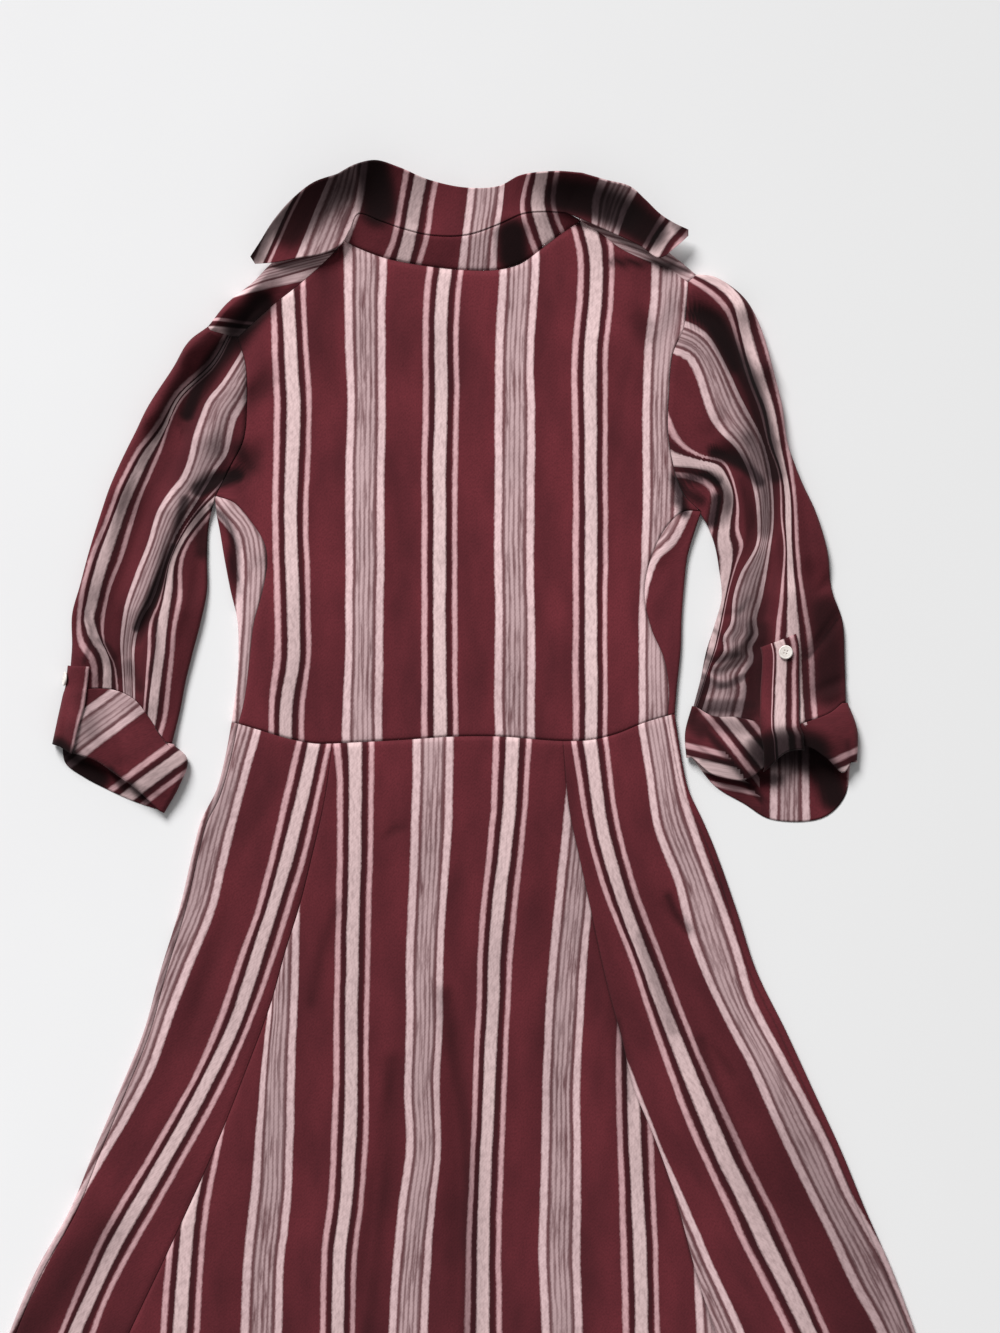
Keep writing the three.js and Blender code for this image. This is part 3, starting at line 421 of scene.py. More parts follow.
# Where the stripes lie. Each row is a stripe's place across the cloth and the line that it follows.
STRIPE_LINES = {
    "back_bodice": [
        (-46, [(-240, 400), (-240, -2)]),
        (-45, [(-187, 400), (-187, -2)]),
        (0, [
            (-144, 387), (-141, 335), (-138, 292), (-141, 206), (-139, 120), (-138, 69), (-144, 34),
            (-146, -2),
        ]),
        (64, [(-77, 430), (-76, 404), (-77, 378), (-77, 335), (-76, 292), (-77, 206), (-79, -2)]),
        (129, [(-7, 411), (-11, 378), (-12, 335), (-12, 292), (-13, 206), (-13, -2)]),
        (193, [(55, 411), (54, 378), (52, 335), (52, 292), (51, 206), (52, -2)]),
        (258, [(110, 452), (120, 421), (120, 378), (116, 335), (116, 292), (117, 206), (117, -2)]),
        (322, [
            (187, 404), (186, 378), (181, 335), (178, 292), (178, 206), (176, 155), (173, 86), (174, -2),
        ]),
    ],
    "side_left": [
        (64, [(-215, 232), (-194, 206), (-175, 181), (-171, 158), (-171, 120), (-175, 59), (-179, -4)]),
    ],
    "side_right": [
        (76.7, [
            (228, 225), (211, 215), (202, 202), (187, 172), (172, 158), (164, 138), (159, 103), (159, -4),
        ]),
    ],
    "sleeve_left": [
        (-13.3, [
            (-195, 350), (-209, 326), (-239, 296), (-254, 270), (-272, 247), (-284, 224), (-298, 189),
            (-312, 155), (-321, 120), (-322, 86), (-310, 67), (-308, 34),
        ]),
        (0, [
            (-193, 349), (-207, 324), (-237, 294), (-249, 268), (-265, 245), (-280, 215), (-297, 172),
            (-312, 120), (-316, 105), (-309, 91), (-299, 73), (-298, 34),
        ]),
        (13.2, [
            (-192, 348), (-206, 322), (-236, 292), (-254, 249), (-271, 206), (-284, 163), (-298, 125),
            (-302, 86), (-292, 64), (-288, 34),
        ]),
        (50.9, [
            (-176, 344), (-189, 322), (-200, 305), (-211, 292), (-217, 275), (-222, 258), (-225, 241),
            (-232, 224), (-243, 211), (-254, 194), (-262, 168), (-271, 146), (-282, 112), (-286, 82),
            (-284, 34),
        ]),
        (76.7, [
            (-166, 327), (-176, 305), (-182, 292), (-191, 275), (-194, 258), (-197, 245), (-206, 232),
            (-221, 206), (-241, 172), (-251, 146), (-260, 120), (-270, 103), (-276, 82), (-275, 34),
        ]),
        (115.7, [(-198, 224), (-228, 189), (-245, 155), (-254, 120), (-262, 101), (-263, 77), (-266, 34)]),
        (129, [
            (-181, 224), (-215, 198), (-243, 155), (-247, 129), (-250, 103), (-252, 82), (-257, 52),
            (-261, 22),
        ]),
        (142.2, [
            (-168, 224), (-206, 198), (-234, 159), (-236, 120), (-241, 95), (-243, 69), (-246, 43),
            (-250, 17), (-254, 4),
        ]),
    ],
    "sleeve_right": [
        (-13.3, [
            (172, 229), (187, 228), (206, 225), (221, 215), (218, 172), (216, 120), (211, 77), (202, 34),
        ]),
        (0, [
            (172, 242), (187, 240), (215, 238), (224, 234), (232, 224), (237, 211), (233, 189),
            (230, 172), (235, 155), (230, 120), (221, 77), (211, 43),
        ]),
        (13.2, [
            (180, 284), (185, 271), (194, 254), (211, 243), (230, 239), (238, 224), (243, 202),
            (243, 181), (247, 168), (241, 150), (235, 129), (226, 86), (215, 52),
        ]),
        (50.9, [
            (176, 338), (187, 335), (202, 329), (211, 311), (215, 297), (221, 280), (230, 265),
            (245, 249), (255, 228), (261, 198), (260, 169), (245, 142), (239, 122), (237, 100), (230, 88),
            (231, 76), (221, 62), (219, 48), (214, 30),
        ]),
        (76.7, [
            (189, 359), (202, 354), (215, 346), (224, 334), (235, 314), (243, 297), (252, 280),
            (264, 258), (271, 228), (273, 189), (269, 163), (262, 122), (257, 104), (259, 90), (253, 80),
            (255, 70), (246, 56), (248, 44), (243, 22),
        ]),
        (115.7, [
            (202, 396), (221, 382), (235, 365), (243, 340), (252, 310), (262, 284), (269, 254),
            (278, 228), (280, 189), (283, 163), (279, 120), (276, 93), (274, 17),
        ]),
        (129, [
            (211, 400), (230, 391), (241, 378), (248, 348), (254, 322), (262, 301), (269, 284),
            (274, 258), (280, 236), (285, 215), (286, 172), (289, 120), (290, 93), (291, 17),
        ]),
        (142.2, [
            (230, 402), (245, 389), (255, 374), (266, 344), (274, 310), (282, 275), (286, 245),
            (291, 206), (294, 155), (299, 120), (306, 77), (308, 17),
        ]),
    ],
    "skirt_left": [
        (-52.3, [
            (-171, 8), (-186, -49), (-200, -101), (-211, -147), (-230, -194), (-247, -239), (-263, -284),
            (-297, -347), (-328, -399), (-360, -461), (-393, -525), (-507, -752),
        ]),
        (-13.3, [
            (-133, 1), (-145, -48), (-157, -101), (-169, -147), (-186, -194), (-200, -236), (-222, -287),
            (-258, -352), (-291, -406), (-318, -461), (-338, -508), (-439, -752),
        ]),
        (0, [
            (-121, -2), (-133, -57), (-146, -106), (-158, -147), (-173, -194), (-187, -239), (-209, -284),
            (-245, -352), (-282, -415), (-318, -488), (-328, -508), (-421, -752),
        ]),
        (13.2, [
            (-109, -4), (-120, -57), (-130, -101), (-144, -147), (-157, -187), (-173, -233), (-194, -284),
            (-230, -352), (-263, -410), (-300, -479), (-311, -508), (-404, -752),
        ]),
    ],
    "skirt_center": [
        (-129, [(-206, -310), (-227, -397), (-232, -443), (-237, -508), (-254, -752)]),
        (-65, [
            (-150, -120), (-150, -172), (-151, -229), (-154, -270), (-157, -388), (-163, -443),
            (-165, -508), (-174, -752),
        ]),
        (0, [
            (-86, -4), (-86, -98), (-87, -147), (-89, -229), (-89, -315), (-93, -388), (-99, -443),
            (-101, -507), (-108, -752),
        ]),
        (64, [
            (-18, 1), (-20, -82), (-23, -131), (-25, -172), (-25, -242), (-27, -297), (-25, -352),
            (-31, -397), (-37, -452), (-40, -507), (-44, -752),
        ]),
        (129, [
            (49, -1), (46, -65), (39, -131), (34, -181), (32, -230), (28, -306), (25, -370), (24, -507),
            (23, -752),
        ]),
        (193, [
            (118, -4), (112, -58), (105, -123), (101, -163), (95, -230), (92, -306), (92, -374),
            (90, -443), (92, -507), (94, -752),
        ]),
        (258, [(168, -52), (157, -172), (153, -297), (157, -396), (161, -509), (168, -752)]),
        (322, [(221, -224), (221, -396), (224, -482), (238, -752)]),
    ],
    "skirt_right": [
        (-52.3, [
            (77, -17), (90, -95), (116, -206), (153, -297), (171, -343), (189, -384), (212, -438),
            (238, -494), (348, -752),
        ]),
        (-13.3, [
            (102, -4), (115, -82), (132, -138), (150, -181), (165, -227), (189, -298), (219, -369),
            (256, -447), (286, -509), (387, -752),
        ]),
        (0, [
            (116, -1), (126, -75), (139, -123), (159, -181), (178, -230), (208, -302), (238, -372),
            (275, -447), (305, -509), (404, -752),
        ]),
        (13.2, [
            (129, 3), (138, -65), (153, -123), (173, -177), (192, -227), (223, -302), (256, -372),
            (286, -434), (318, -509), (420, -752),
        ]),
        (50.9, [
            (161, 14), (168, -32), (175, -75), (193, -123), (202, -163), (215, -197), (230, -230),
            (261, -289), (285, -345), (318, -410), (342, -462), (369, -509), (469, -752),
        ]),
        (76.7, [
            (186, 1), (195, -49), (212, -101), (227, -141), (243, -188), (255, -227), (285, -283),
            (316, -343), (337, -391), (369, -447), (393, -503), (494, -752),
        ]),
    ],
    "collar": [
        (-129, [(-133, 473), (-146, 452), (-157, 430), (-166, 411)]),
        (-78, [(-103, 482), (-114, 460), (-125, 434)]),
        (-52.3, [(-78, 486), (-83, 460), (-93, 434)]),
        (-13.3, [(-40, 488), (-46, 460), (-52, 430), (-61, 411)]),
        (0, [(-28, 488), (-34, 460), (-39, 434), (-46, 406)]),
        (13.2, [(-15, 482), (-20, 460), (-24, 432), (-32, 406)]),
        (50.9, [(15, 477), (13, 456), (10, 430), (7, 400)]),
        (76.7, [(41, 477), (39, 456), (34, 430), (31, 400)]),
        (115.7, [(64, 486), (57, 460), (58, 447), (64, 430), (71, 415)]),
        (129, [(75, 486), (71, 460), (72, 452), (76, 439), (81, 421)]),
        (142.2, [(87, 486), (84, 460), (88, 445), (94, 434)]),
        (193, [(144, 477), (135, 460), (130, 443)]),
        (245, [(181, 452), (169, 434), (159, 417)]),
        (258, [(192, 445), (178, 430), (168, 413)]),
    ],
    "shoulder_left": [
        (0, [(-215, 350), (-190, 350)]),
        (13.2, [(-215, 362), (-183, 359)]),
        (51.5, [(-172, 388), (-148, 396), (-122, 404)]),
        (76, [(-172, 402), (-148, 410), (-122, 417)]),
    ],
    "shoulder_right": [(64, [(129, 430), (159, 421), (202, 402)])],
}

# One repeat of the stripes: middle, width and yarn, from the middle of the cream stripe
REPEAT = 129
REPEAT_START = -32.0
FRAY = 1.7             # how far slubs push a stripe's edge
DRIFT = 4.2            # how far slow waves carry a stripe
SOFT = 1.7             # width of a stripe's soft edge
FRONT_STRIPE = 20      # place on the cloth at the middle of the front
PLACKET_STRIPE = 64    # place on the cloth at the placket's middle
STRIPES = [
    (0, 10.4, "cream"), (-13.2, 4.6, "pink"), (13.2, 3.9, "pink"),
    (50.2, 6.2, "pale"), (77.6, 6.0, "pale"),
    (57.8, 2.6, "fine"), (61.6, 2.8, "fine"), (65.8, 2.8, "fine"), (69.9, 2.4, "fine"),
]
SHADED = [(0, 20), (63.9, 20)]   # middle and width of the darker ground between the stripes

# Stripes of a tab: the place at its outer edge, how much cloth its fold hides beyond the cream, and how
# much its cloth is drawn together
TAB_STRIPE = {"left": (-41, 0, 1.0), "right": (18.5, 9, 1.15)}

# Stripes on the layers of the rolled cuffs: slant and start, and where the right one's layers begin
CUFF_LAYERS = {
    "left": {"flap": (-53.1, -259.2)},
    "right": {"flap": (38, 196.9), "under": (-103.5, -28.8), "outer": (-66.5, 158.6), "inside": (0, 224)},
}
RIGHT_CUFF = {"under_from": -21, "outer_x": 300, "outer_least": -44, "inside_x": 262, "inside_z": 0.1}


def curve(rows, count):
    """Evenly spaced points of the smooth curve through the rows: a centripetal Catmull-Rom spline, whose
    tangents weigh each step by the square root of its length, walked in equal lengths."""
    rows = np.asarray(rows, float)
    padded = np.vstack([2 * rows[0] - rows[1], rows, 2 * rows[-1] - rows[-2]])
    step = np.sqrt(np.linalg.norm(np.diff(padded, axis=0), axis=1))[:, None]
    before, start, end, after = padded[:-3], padded[1:-2], padded[2:-1], padded[3:]
    d0, d1, d2 = step[:-2], step[1:-1], step[2:]
    leave = ((start - before) / d0 - (end - before) / (d0 + d1) + (end - start) / d1) * d1
    arrive = ((end - start) / d1 - (after - start) / (d1 + d2) + (after - end) / d2) * d1
    t = np.linspace(0, 1, 24, endpoint=False)[None, :, None]
    cubic = 2 * start - 2 * end + leave + arrive
    square = -3 * start + 3 * end - 2 * leave - arrive
    points = start[:, None] + t * (leave[:, None] + t * (square[:, None] + t * cubic[:, None]))
    points = np.vstack([points.reshape(-1, rows.shape[1]), rows[-1]])
    walked = np.concatenate([[0], np.cumsum(np.linalg.norm(np.diff(points, axis=0), axis=1))])
    even = np.linspace(0, walked[-1], count + 1)
    return np.stack([np.interp(even, walked, column) for column in points.T], axis=1)


def ridge(places, start, end):
    """Distance of each place from a straight ridge, and the side it lies on: positive on its left."""
    start, end = np.asarray(start, float), np.asarray(end, float)
    run = end - start
    away = places - start
    along = np.clip((away @ run) / (run @ run), 0, 1)
    nearest = away - along[..., None] * run
    side = np.sign(run[0] * away[..., 1] - run[1] * away[..., 0])
    return np.linalg.norm(nearest, axis=-1), side, along


def bell_along(places, line, left, right, power=2, fades=True):
    """A bell of the distance from a line. Its two sides differ in width, a higher power makes it flatter and
    steeper, and it fades towards the line's ends. Only places near the line are worked out."""
    line = curve(line, 3 * len(line))
    margin = 2.2 * max(left, right)
    near = ((places > line.min(axis=0) - margin) & (places < line.max(axis=0) + margin)).all(axis=-1)
    seen = places[near]
    found = np.full(len(seen), 1e9)
    width = np.ones_like(found)
    share = np.zeros_like(found)
    for k, (start, end) in enumerate(zip(line[:-1], line[1:])):
        distance, side, along = ridge(seen, start, end)
        nearer = distance < found
        found = np.where(nearer, distance, found)
        width = np.where(nearer, np.where(side > 0, left, right), width)
        share = np.where(nearer, (k + along) / (len(line) - 1), share)
    fade = np.sin(np.pi * np.clip(share * 0.9 + 0.05, 0, 1)) ** 0.5 if fades else 1.0
    bell = np.zeros(places.shape[:-1])
    bell[near] = fade * np.exp(-((found / width) ** power))
    return bell


def lay_height(places):
    """Height of the upper layer: the lay of the dress, a bell across each ridge and the finer creases."""
    height = np.full(places.shape[:-1], float(LAY))
    for start, end, width, rise in RIDGES:
        distance, _, _ = ridge(places, start, end)
        height += rise * np.exp(-((distance / width) ** 2))
    for line, left, right, rise, _ in CREASES:
        height += rise * bell_along(places, line, left, right)
    return np.maximum(height, LEAST_LAY)


def shade_of(places, name):
    """How dark the shade is, from 0 to 1, in the creases and between the layers of that part."""
    shade = np.zeros(places.shape[:-1])
    rows = SHADES.get(name, ())
    if name in ("dress", "sleeve_left", "sleeve_right"):
        rows = SHADES["dress"]
        for line, left, right, _, dark in CREASES:
            if dark:
                shade = np.maximum(shade, dark * bell_along(places, line, left * 1.1, right * 1.1, 3))
    for line, width, dark, power in rows:
        shade = np.maximum(shade, dark * bell_along(places, line, width, width, power, False))
    even = EVEN_SHADE.get(name, 0.0)
    if name == "dress":
        down = (SKIRT_SHADE["top"] - places[..., 1]) / SKIRT_SHADE["run"]
        even = SKIRT_SHADE["depth"] * np.clip(down, 0, 1)
    return 1 - (1 - shade) * (1 - even)


def on_top(places, lift=0.0):
    """Places seen from above, laid on the upper layer."""
    return np.concatenate([places, (lay_height(places) + lift)[..., None]], axis=-1)


def on_floor(places, lift=0.0):
    """Places seen from above, laid on the floor."""
    return np.concatenate([places, np.full(places.shape[:-1] + (1,), float(lift))], axis=-1)


def mix(a, b, share):
    """The point at that share of the way from a to b."""
    a, b = np.asarray(a, float), np.asarray(b, float)
    return a + (b - a) * share


def patch(low, high, left, right, low_share=1.0, high_share=1.0, sharp=1.0):
    """Grid between four edges. Each row runs from left to right, and the bend of the low and of the high
    edge, its distance from a straight line, is spent within its own share of the way."""
    u = np.linspace(0, 1, len(low))[None, :, None]
    v = np.linspace(0, 1, len(left))[:, None, None]
    level = mix(left[:, None], right[:, None], u)
    low_bend = low[None] - mix(low[0], low[-1], u)
    high_bend = high[None] - mix(high[0], high[-1], u)
    low_fade = np.clip(1 - v / low_share, 0, None) ** sharp
    high_fade = np.clip(1 - (1 - v) / high_share, 0, None) ** sharp
    return level + low_bend * low_fade + high_bend * high_fade


def turn_at(outer, inward, proud=0.0):
    """Rounded turn of the cloth at a folded side: half a circle, squeezed to its reach, from the floor up
    to the upper layer."""
    outer, inward = np.asarray(outer, float), np.asarray(inward, float)
    reach = np.minimum(lay_height(outer + inward * FOLD_REACH / 2) / 2, FOLD_REACH)
    height = lay_height(outer + inward * reach[..., None]) + proud
    angle = (np.linspace(0, 1, CELLS["arc"] + 1) - 0.5) * np.pi
    inset = reach[..., None] - (reach[..., None] + proud) * np.cos(angle)
    plan = outer[..., None, :] + inward[..., None, :] * inset[..., None]
    rise = height[..., None] / 2 * (1 + np.sin(angle))
    return np.concatenate([plan, rise[..., None]], axis=-1)


def inward_along(points, hand, first=None, last=None, eased=28.0):
    """Directions into the cloth along a side: across its run, and eased into a corner's own direction."""
    run = np.gradient(points, axis=0)
    run /= np.linalg.norm(run, axis=1)[:, None]
    across = np.stack([-hand * run[:, 1], hand * run[:, 0]], axis=1)
    walked = np.concatenate([[0], np.cumsum(np.linalg.norm(np.diff(points, axis=0), axis=1))])
    for corner, distance in ((first, walked), (last, walked[-1] - walked)):
        if corner is not None:
            near = np.clip(1 - distance / eased, 0, 1)[:, None]
            near = near * near * (3 - 2 * near)
            across = across * (1 - near) + np.asarray(corner, float) * near
    return across / np.linalg.norm(across, axis=1)[:, None]


def plan(points):
    """The same points seen from above."""
    return points[..., :2]


def side_of(name):
    """Shared lines of one side of the dress: its folds, seams and armhole."""
    rows = SIDES[name]
    out = rows["outwards"]
    shoulder_in = (-out * 0.6, -0.8)
    underarm_turn = turn_at(rows["underarm"], (0, 1))
    shoulder_turn = turn_at(rows["shoulder_front"][-1], shoulder_in)
    fold_line = curve([WAIST_CORNER[name], *rows["side"][::-1], rows["underarm"]], CELLS["side"])
    side_turns = turn_at(fold_line, inward_along(fold_line, out, first=(-out, 0), last=(0, 1)))
    shoulder_line = curve(rows["shoulder_front"], CELLS["shoulder"])
    shoulder_turns = turn_at(shoulder_line, inward_along(shoulder_line, -out, last=shoulder_in))
    waist_seam = WAIST["left"][0] if out < 0 else WAIST["right"][-1]
    seam_top = plan(underarm_turn[-1])
    side_seam = curve([waist_seam, *rows["side_seam"][::-1], seam_top], CELLS["side"])
    armhole = curve([seam_top, *rows["armhole"][::-1]], CELLS["cap"])
    armhole_low = curve(
        [plan(underarm_turn[0]), *rows["armhole"][::-1], plan(shoulder_turn[0])], CELLS["cap"]
    )
    return {
        "rows": rows, "out": out, "side_turns": side_turns, "shoulder_turns": shoulder_turns,
        "side_seam": side_seam, "armhole": armhole, "armhole_low": armhole_low,
        "shoulder_seam": curve(rows["shoulder_back"], CELLS["shoulder"]),
        "shoulder_in": shoulder_in, "waist_turn": turn_at(WAIST_CORNER[name], (-out, 0)),
    }


def drawn_on(line, further=80.0):
    """A line's smooth points, drawn on straight beyond both ends."""
    line = np.asarray(line, float)
    if len(line) > 2:
        line = curve(line, 4 * len(line))
    ends = line[0] - line[1], line[-1] - line[-2]
    first, last = (end / np.linalg.norm(end) * further for end in ends)
    return np.vstack([line[0] + first, line, line[-1] + last])


def stripes_at(places, lines):
    """Place of each point across the cloth. Each stripe's line gives its distance from the point, positive
    on the line's left. Between two lines the place runs evenly with these distances, and beyond the outer
    ones one millimetre is one millimetre."""
    seen = plan(places)
    known = [place for place, _ in lines]
    away = []
    for _, rows in lines:
        line = drawn_on(rows)
        found = np.full(seen.shape[:-1], 1e9)
        sign = np.ones_like(found)
        for start, end in zip(line[:-1], line[1:]):
            distance, side, _ = ridge(seen, start, end)
            nearer = distance < found
            found = np.where(nearer, distance, found)
            sign = np.where(nearer, side, sign)
        away.append(found * sign)
    cloth = known[0] + np.minimum(away[0], 0) + np.maximum(away[-1], 0)
    for k in range(len(lines) - 1):
        gap = np.maximum(away[k] - away[k + 1], 0.5)
        share = np.where(away[k + 1] >= 0, 1.0, np.clip(away[k] / gap, 0, 1))
        cloth = cloth + share * (known[k + 1] - known[k])
    return cloth


def pinch(points, edges, depth=0.9, width=2.4):
    """Lowers the cloth to its seams: a bell of the distance, walked on the grid, from each named edge."""
    steps = {
        "low": (0, False), "high": (0, True), "left": (1, False), "right": (1, True),
    }
    dip = np.zeros(points.shape[:2])
    for edge in edges:
        axis, far = steps[edge]
        length = np.linalg.norm(np.diff(points, axis=axis), axis=-1)
        zero = np.zeros_like(np.take(length, [0], axis=axis))
        walked = np.concatenate([zero, np.cumsum(length, axis=axis)], axis=axis)
        if far:
            walked = np.take(walked, [-1], axis=axis) - walked
        dip = np.maximum(dip, depth * np.exp(-((walked / width) ** 2)))
    lowered = points.copy()
    lowered[..., 2] = np.maximum(lowered[..., 2] - dip, 0)
    return lowered


def blurred(values, times):
    """Each value mixed with its neighbours on the grid, that many times over."""
    for _ in range(times):
        padded = np.pad(values, 1, mode="edge")
        values = (
            padded[:-2, 1:-1] + padded[2:, 1:-1] + padded[1:-1, :-2] + padded[1:-1, 2:]
            + 2 * padded[1:-1, 1:-1]
        ) / 6
    return values


def cells(values):
    """The four corners of each cell of a grid, one after the other round the cell."""
    return np.stack([values[:-1, :-1], values[:-1, 1:], values[1:, 1:], values[1:, :-1]], axis=2)


class Sheet:
    """One grid of a piece: its points, the place of each point or of each cell's corners on the cloth in
    millimetres, whether it is turned over, and the part whose shades it takes. The cloth's length runs
    down the dress."""

    def __init__(self, points, across, turned=False, shades=None):
        self.points = points
        across = np.asarray(across)
        if across.ndim < 3:
            across = cells(np.broadcast_to(across, points.shape[:2]))
        self.place = np.stack([across, -cells(points)[..., 1]], axis=-1).reshape(-1, 4, 2)
        self.turned = turned
        if turned:
            self.place = self.place[:, ::-1]
        # Painted shade: darker where the cloth lies lower than the blurred cloth around it, and the part's
        # own painted shade of creases and between the layers
        height = points[..., 2]
        around = blurred(height, HOLLOW_SHADE["blur"])
        self.painted_shade = np.clip((around - height) / HOLLOW_SHADE["deep"], 0, HOLLOW_SHADE["most"])
        if shades:
            self.painted_shade = np.maximum(self.painted_shade, shade_of(plan(points), shades))

    def faces(self, first):
        """Corners of each cell, in the order that faces the grid up or, if turned, down."""
        rows, columns = self.points.shape[:2]
        ids = np.arange(rows * columns).reshape(rows, columns) + first
        quads = cells(ids).reshape(-1, 4)
        return quads[:, ::-1] if self.turned else quads


def in_row(points):
    """Drawing millimetres as metres of the row frame."""
    moved = points * MM
    moved[:, 0] += CENTRE_X * MM
    moved[:, 1] += WAIST_Y * MM
    return moved


def mesh_piece(name, sheets):
    """One object of several grids. Points that lie together become one, so the grids are sewn to each other;
    the cloth's place goes into the UV map and the painted shade of hollows, creases and layers into an
    attribute."""
    points = np.vstack([sheet.points.reshape(-1, 3) for sheet in sheets])
    place = np.vstack([sheet.place for sheet in sheets])
    painted_shade = np.concatenate([sheet.painted_shade.ravel() for sheet in sheets])
    first = np.cumsum([0] + [sheet.painted_shade.size for sheet in sheets])
    quads = np.vstack([sheet.faces(start) for sheet, start in zip(sheets, first)])
    _, keep, sewn = np.unique(
        np.round(points * 50).astype(np.int64), axis=0, return_index=True, return_inverse=True
    )
    sewn = sewn.ravel()
    corners = sewn[quads]
    whole = (np.sort(corners, axis=1)[:, 1:] != np.sort(corners, axis=1)[:, :-1]).all(axis=1)
    faces, loops = corners[whole].tolist(), [place[whole].reshape(-1, 2)]
    for corner, spots in zip(corners[~whole].tolist(), place[~whole]):
        kept = [k for k in range(4) if corner[k] not in corner[:k]]
        if len(kept) == 3:
            faces.append([corner[k] for k in kept])
            loops.append(spots[kept])
    mesh = bpy.data.meshes.new(name)
    mesh.from_pydata(in_row(points[keep]), [], faces)
    uv = mesh.uv_layers.new(name="cloth")
    uv.data.foreach_set("uv", (np.concatenate(loops) * MM).astype(np.float32).ravel())
    shade = mesh.attributes.new("painted_shade", "FLOAT", "POINT")
    shade.data.foreach_set("value", painted_shade[keep].astype(np.float32))
    mesh.polygons.foreach_set("use_smooth", np.ones(len(faces), bool))
    mesh.update()
    piece = bpy.data.objects.new(name, mesh)
    bpy.context.scene.collection.objects.link(piece)
    return piece


def front_place(points):
    """Stripes of a front panel: one millimetre across is one millimetre of cloth, from the placket out."""
    return np.abs(points[..., 0]) + FRONT_STRIPE


def back_bodice_sheets():
    """The back: a patch between the waist, both side seams and armholes, and the shoulders and neck."""
    left, right = side_of("left"), side_of("right")
    low = np.vstack([
        curve(WAIST["left"], CELLS["shoulder"]), curve(WAIST["middle"], CELLS["neck"])[1:],
        curve(WAIST["right"], CELLS["shoulder"])[1:],
    ])
    high = np.vstack([
        left["shoulder_seam"][::-1], curve(NECK_SEAM, CELLS["neck"])[1:], right["shoulder_seam"][1:],
    ])
    edges = [np.vstack([side["side_seam"], side["armhole"][1:]]) for side in (left, right)]
    points = on_top(patch(low, high, edges[0], edges[1]))
    points = pinch(points, ["low", "high", "left", "right"])
    return [Sheet(points, stripes_at(points, STRIPE_LINES["back_bodice"]), shades="dress")]


def wrapped(turns, seam, count):
    """Rows of cloth that come up round a fold and run on, on the upper layer, to a seam."""
    top = plan(turns[:, -1])
    share = np.linspace(0, 1, count + 1)[None, 1:, None]
    run = on_top(mix(top[:, None], seam[:, None], share))
    return np.concatenate([turns, run], axis=1)


def front_bodice_sheets(name):
    """A front: a patch on the floor that turns up round the side and over the shoulder to the back."""
    side = side_of(name)
    out = side["out"]
    middle = out * PLACKET_WIDTH / 2
    outer = np.vstack([plan(side["side_turns"][:, 0]), side["armhole_low"][1:]])
    neck_point = plan(side["shoulder_turns"][0, 0])
    neck = curve([(middle, NECK_FRONT_Y), (middle + out * 55, NECK_FRONT_Y + 25), neck_point],
                 CELLS["front"])
    waist = curve([(middle, 3), (middle + out * 90, 0), plan(side["waist_turn"][0])],
                  CELLS["front"] + CELLS["shoulder"])
    high = np.vstack([neck, plan(side["shoulder_turns"][1:, 0])])
    centre = curve([(middle, 3), (middle, NECK_FRONT_Y)], len(outer) - 1)
    floor = on_floor(patch(waist, high, centre, outer))
    sides = pinch(wrapped(side["side_turns"], side["side_seam"], CELLS["wrap"]), ["right"])
    shoulder = pinch(wrapped(side["shoulder_turns"], side["shoulder_seam"], CELLS["roll"]), ["right"])
    return [
        Sheet(floor, front_place(floor), turned=out > 0),
        Sheet(sides, stripes_at(sides, STRIPE_LINES[f"side_{name}"]), out > 0, "dress"),
        Sheet(shoulder, stripes_at(shoulder, STRIPE_LINES[f"shoulder_{name}"]), out < 0, "dress"),
    ]


def tube_sheets(outer_turns, inner_turns, top_edges, low_edges, lift, turned, bend, across, shades):
    """A flattened tube. Its upper sheet runs from the outer fold over the top to the inner fold, and its
    lower sheet lies on the floor between them."""
    top = patch(*top_edges, plan(outer_turns[:, -1]), plan(inner_turns[:, -1]), **bend)
    low = patch(*low_edges, plan(outer_turns[:, 0]), plan(inner_turns[:, 0]), **bend)
    upper = np.concatenate([outer_turns, on_top(top[:, 1:-1], lift), inner_turns[:, ::-1]], axis=1)
    lower = on_floor(low)
    return upper, [
        Sheet(upper, across(upper), turned, shades),
        Sheet(lower, across(lower), not turned, shades),
    ]


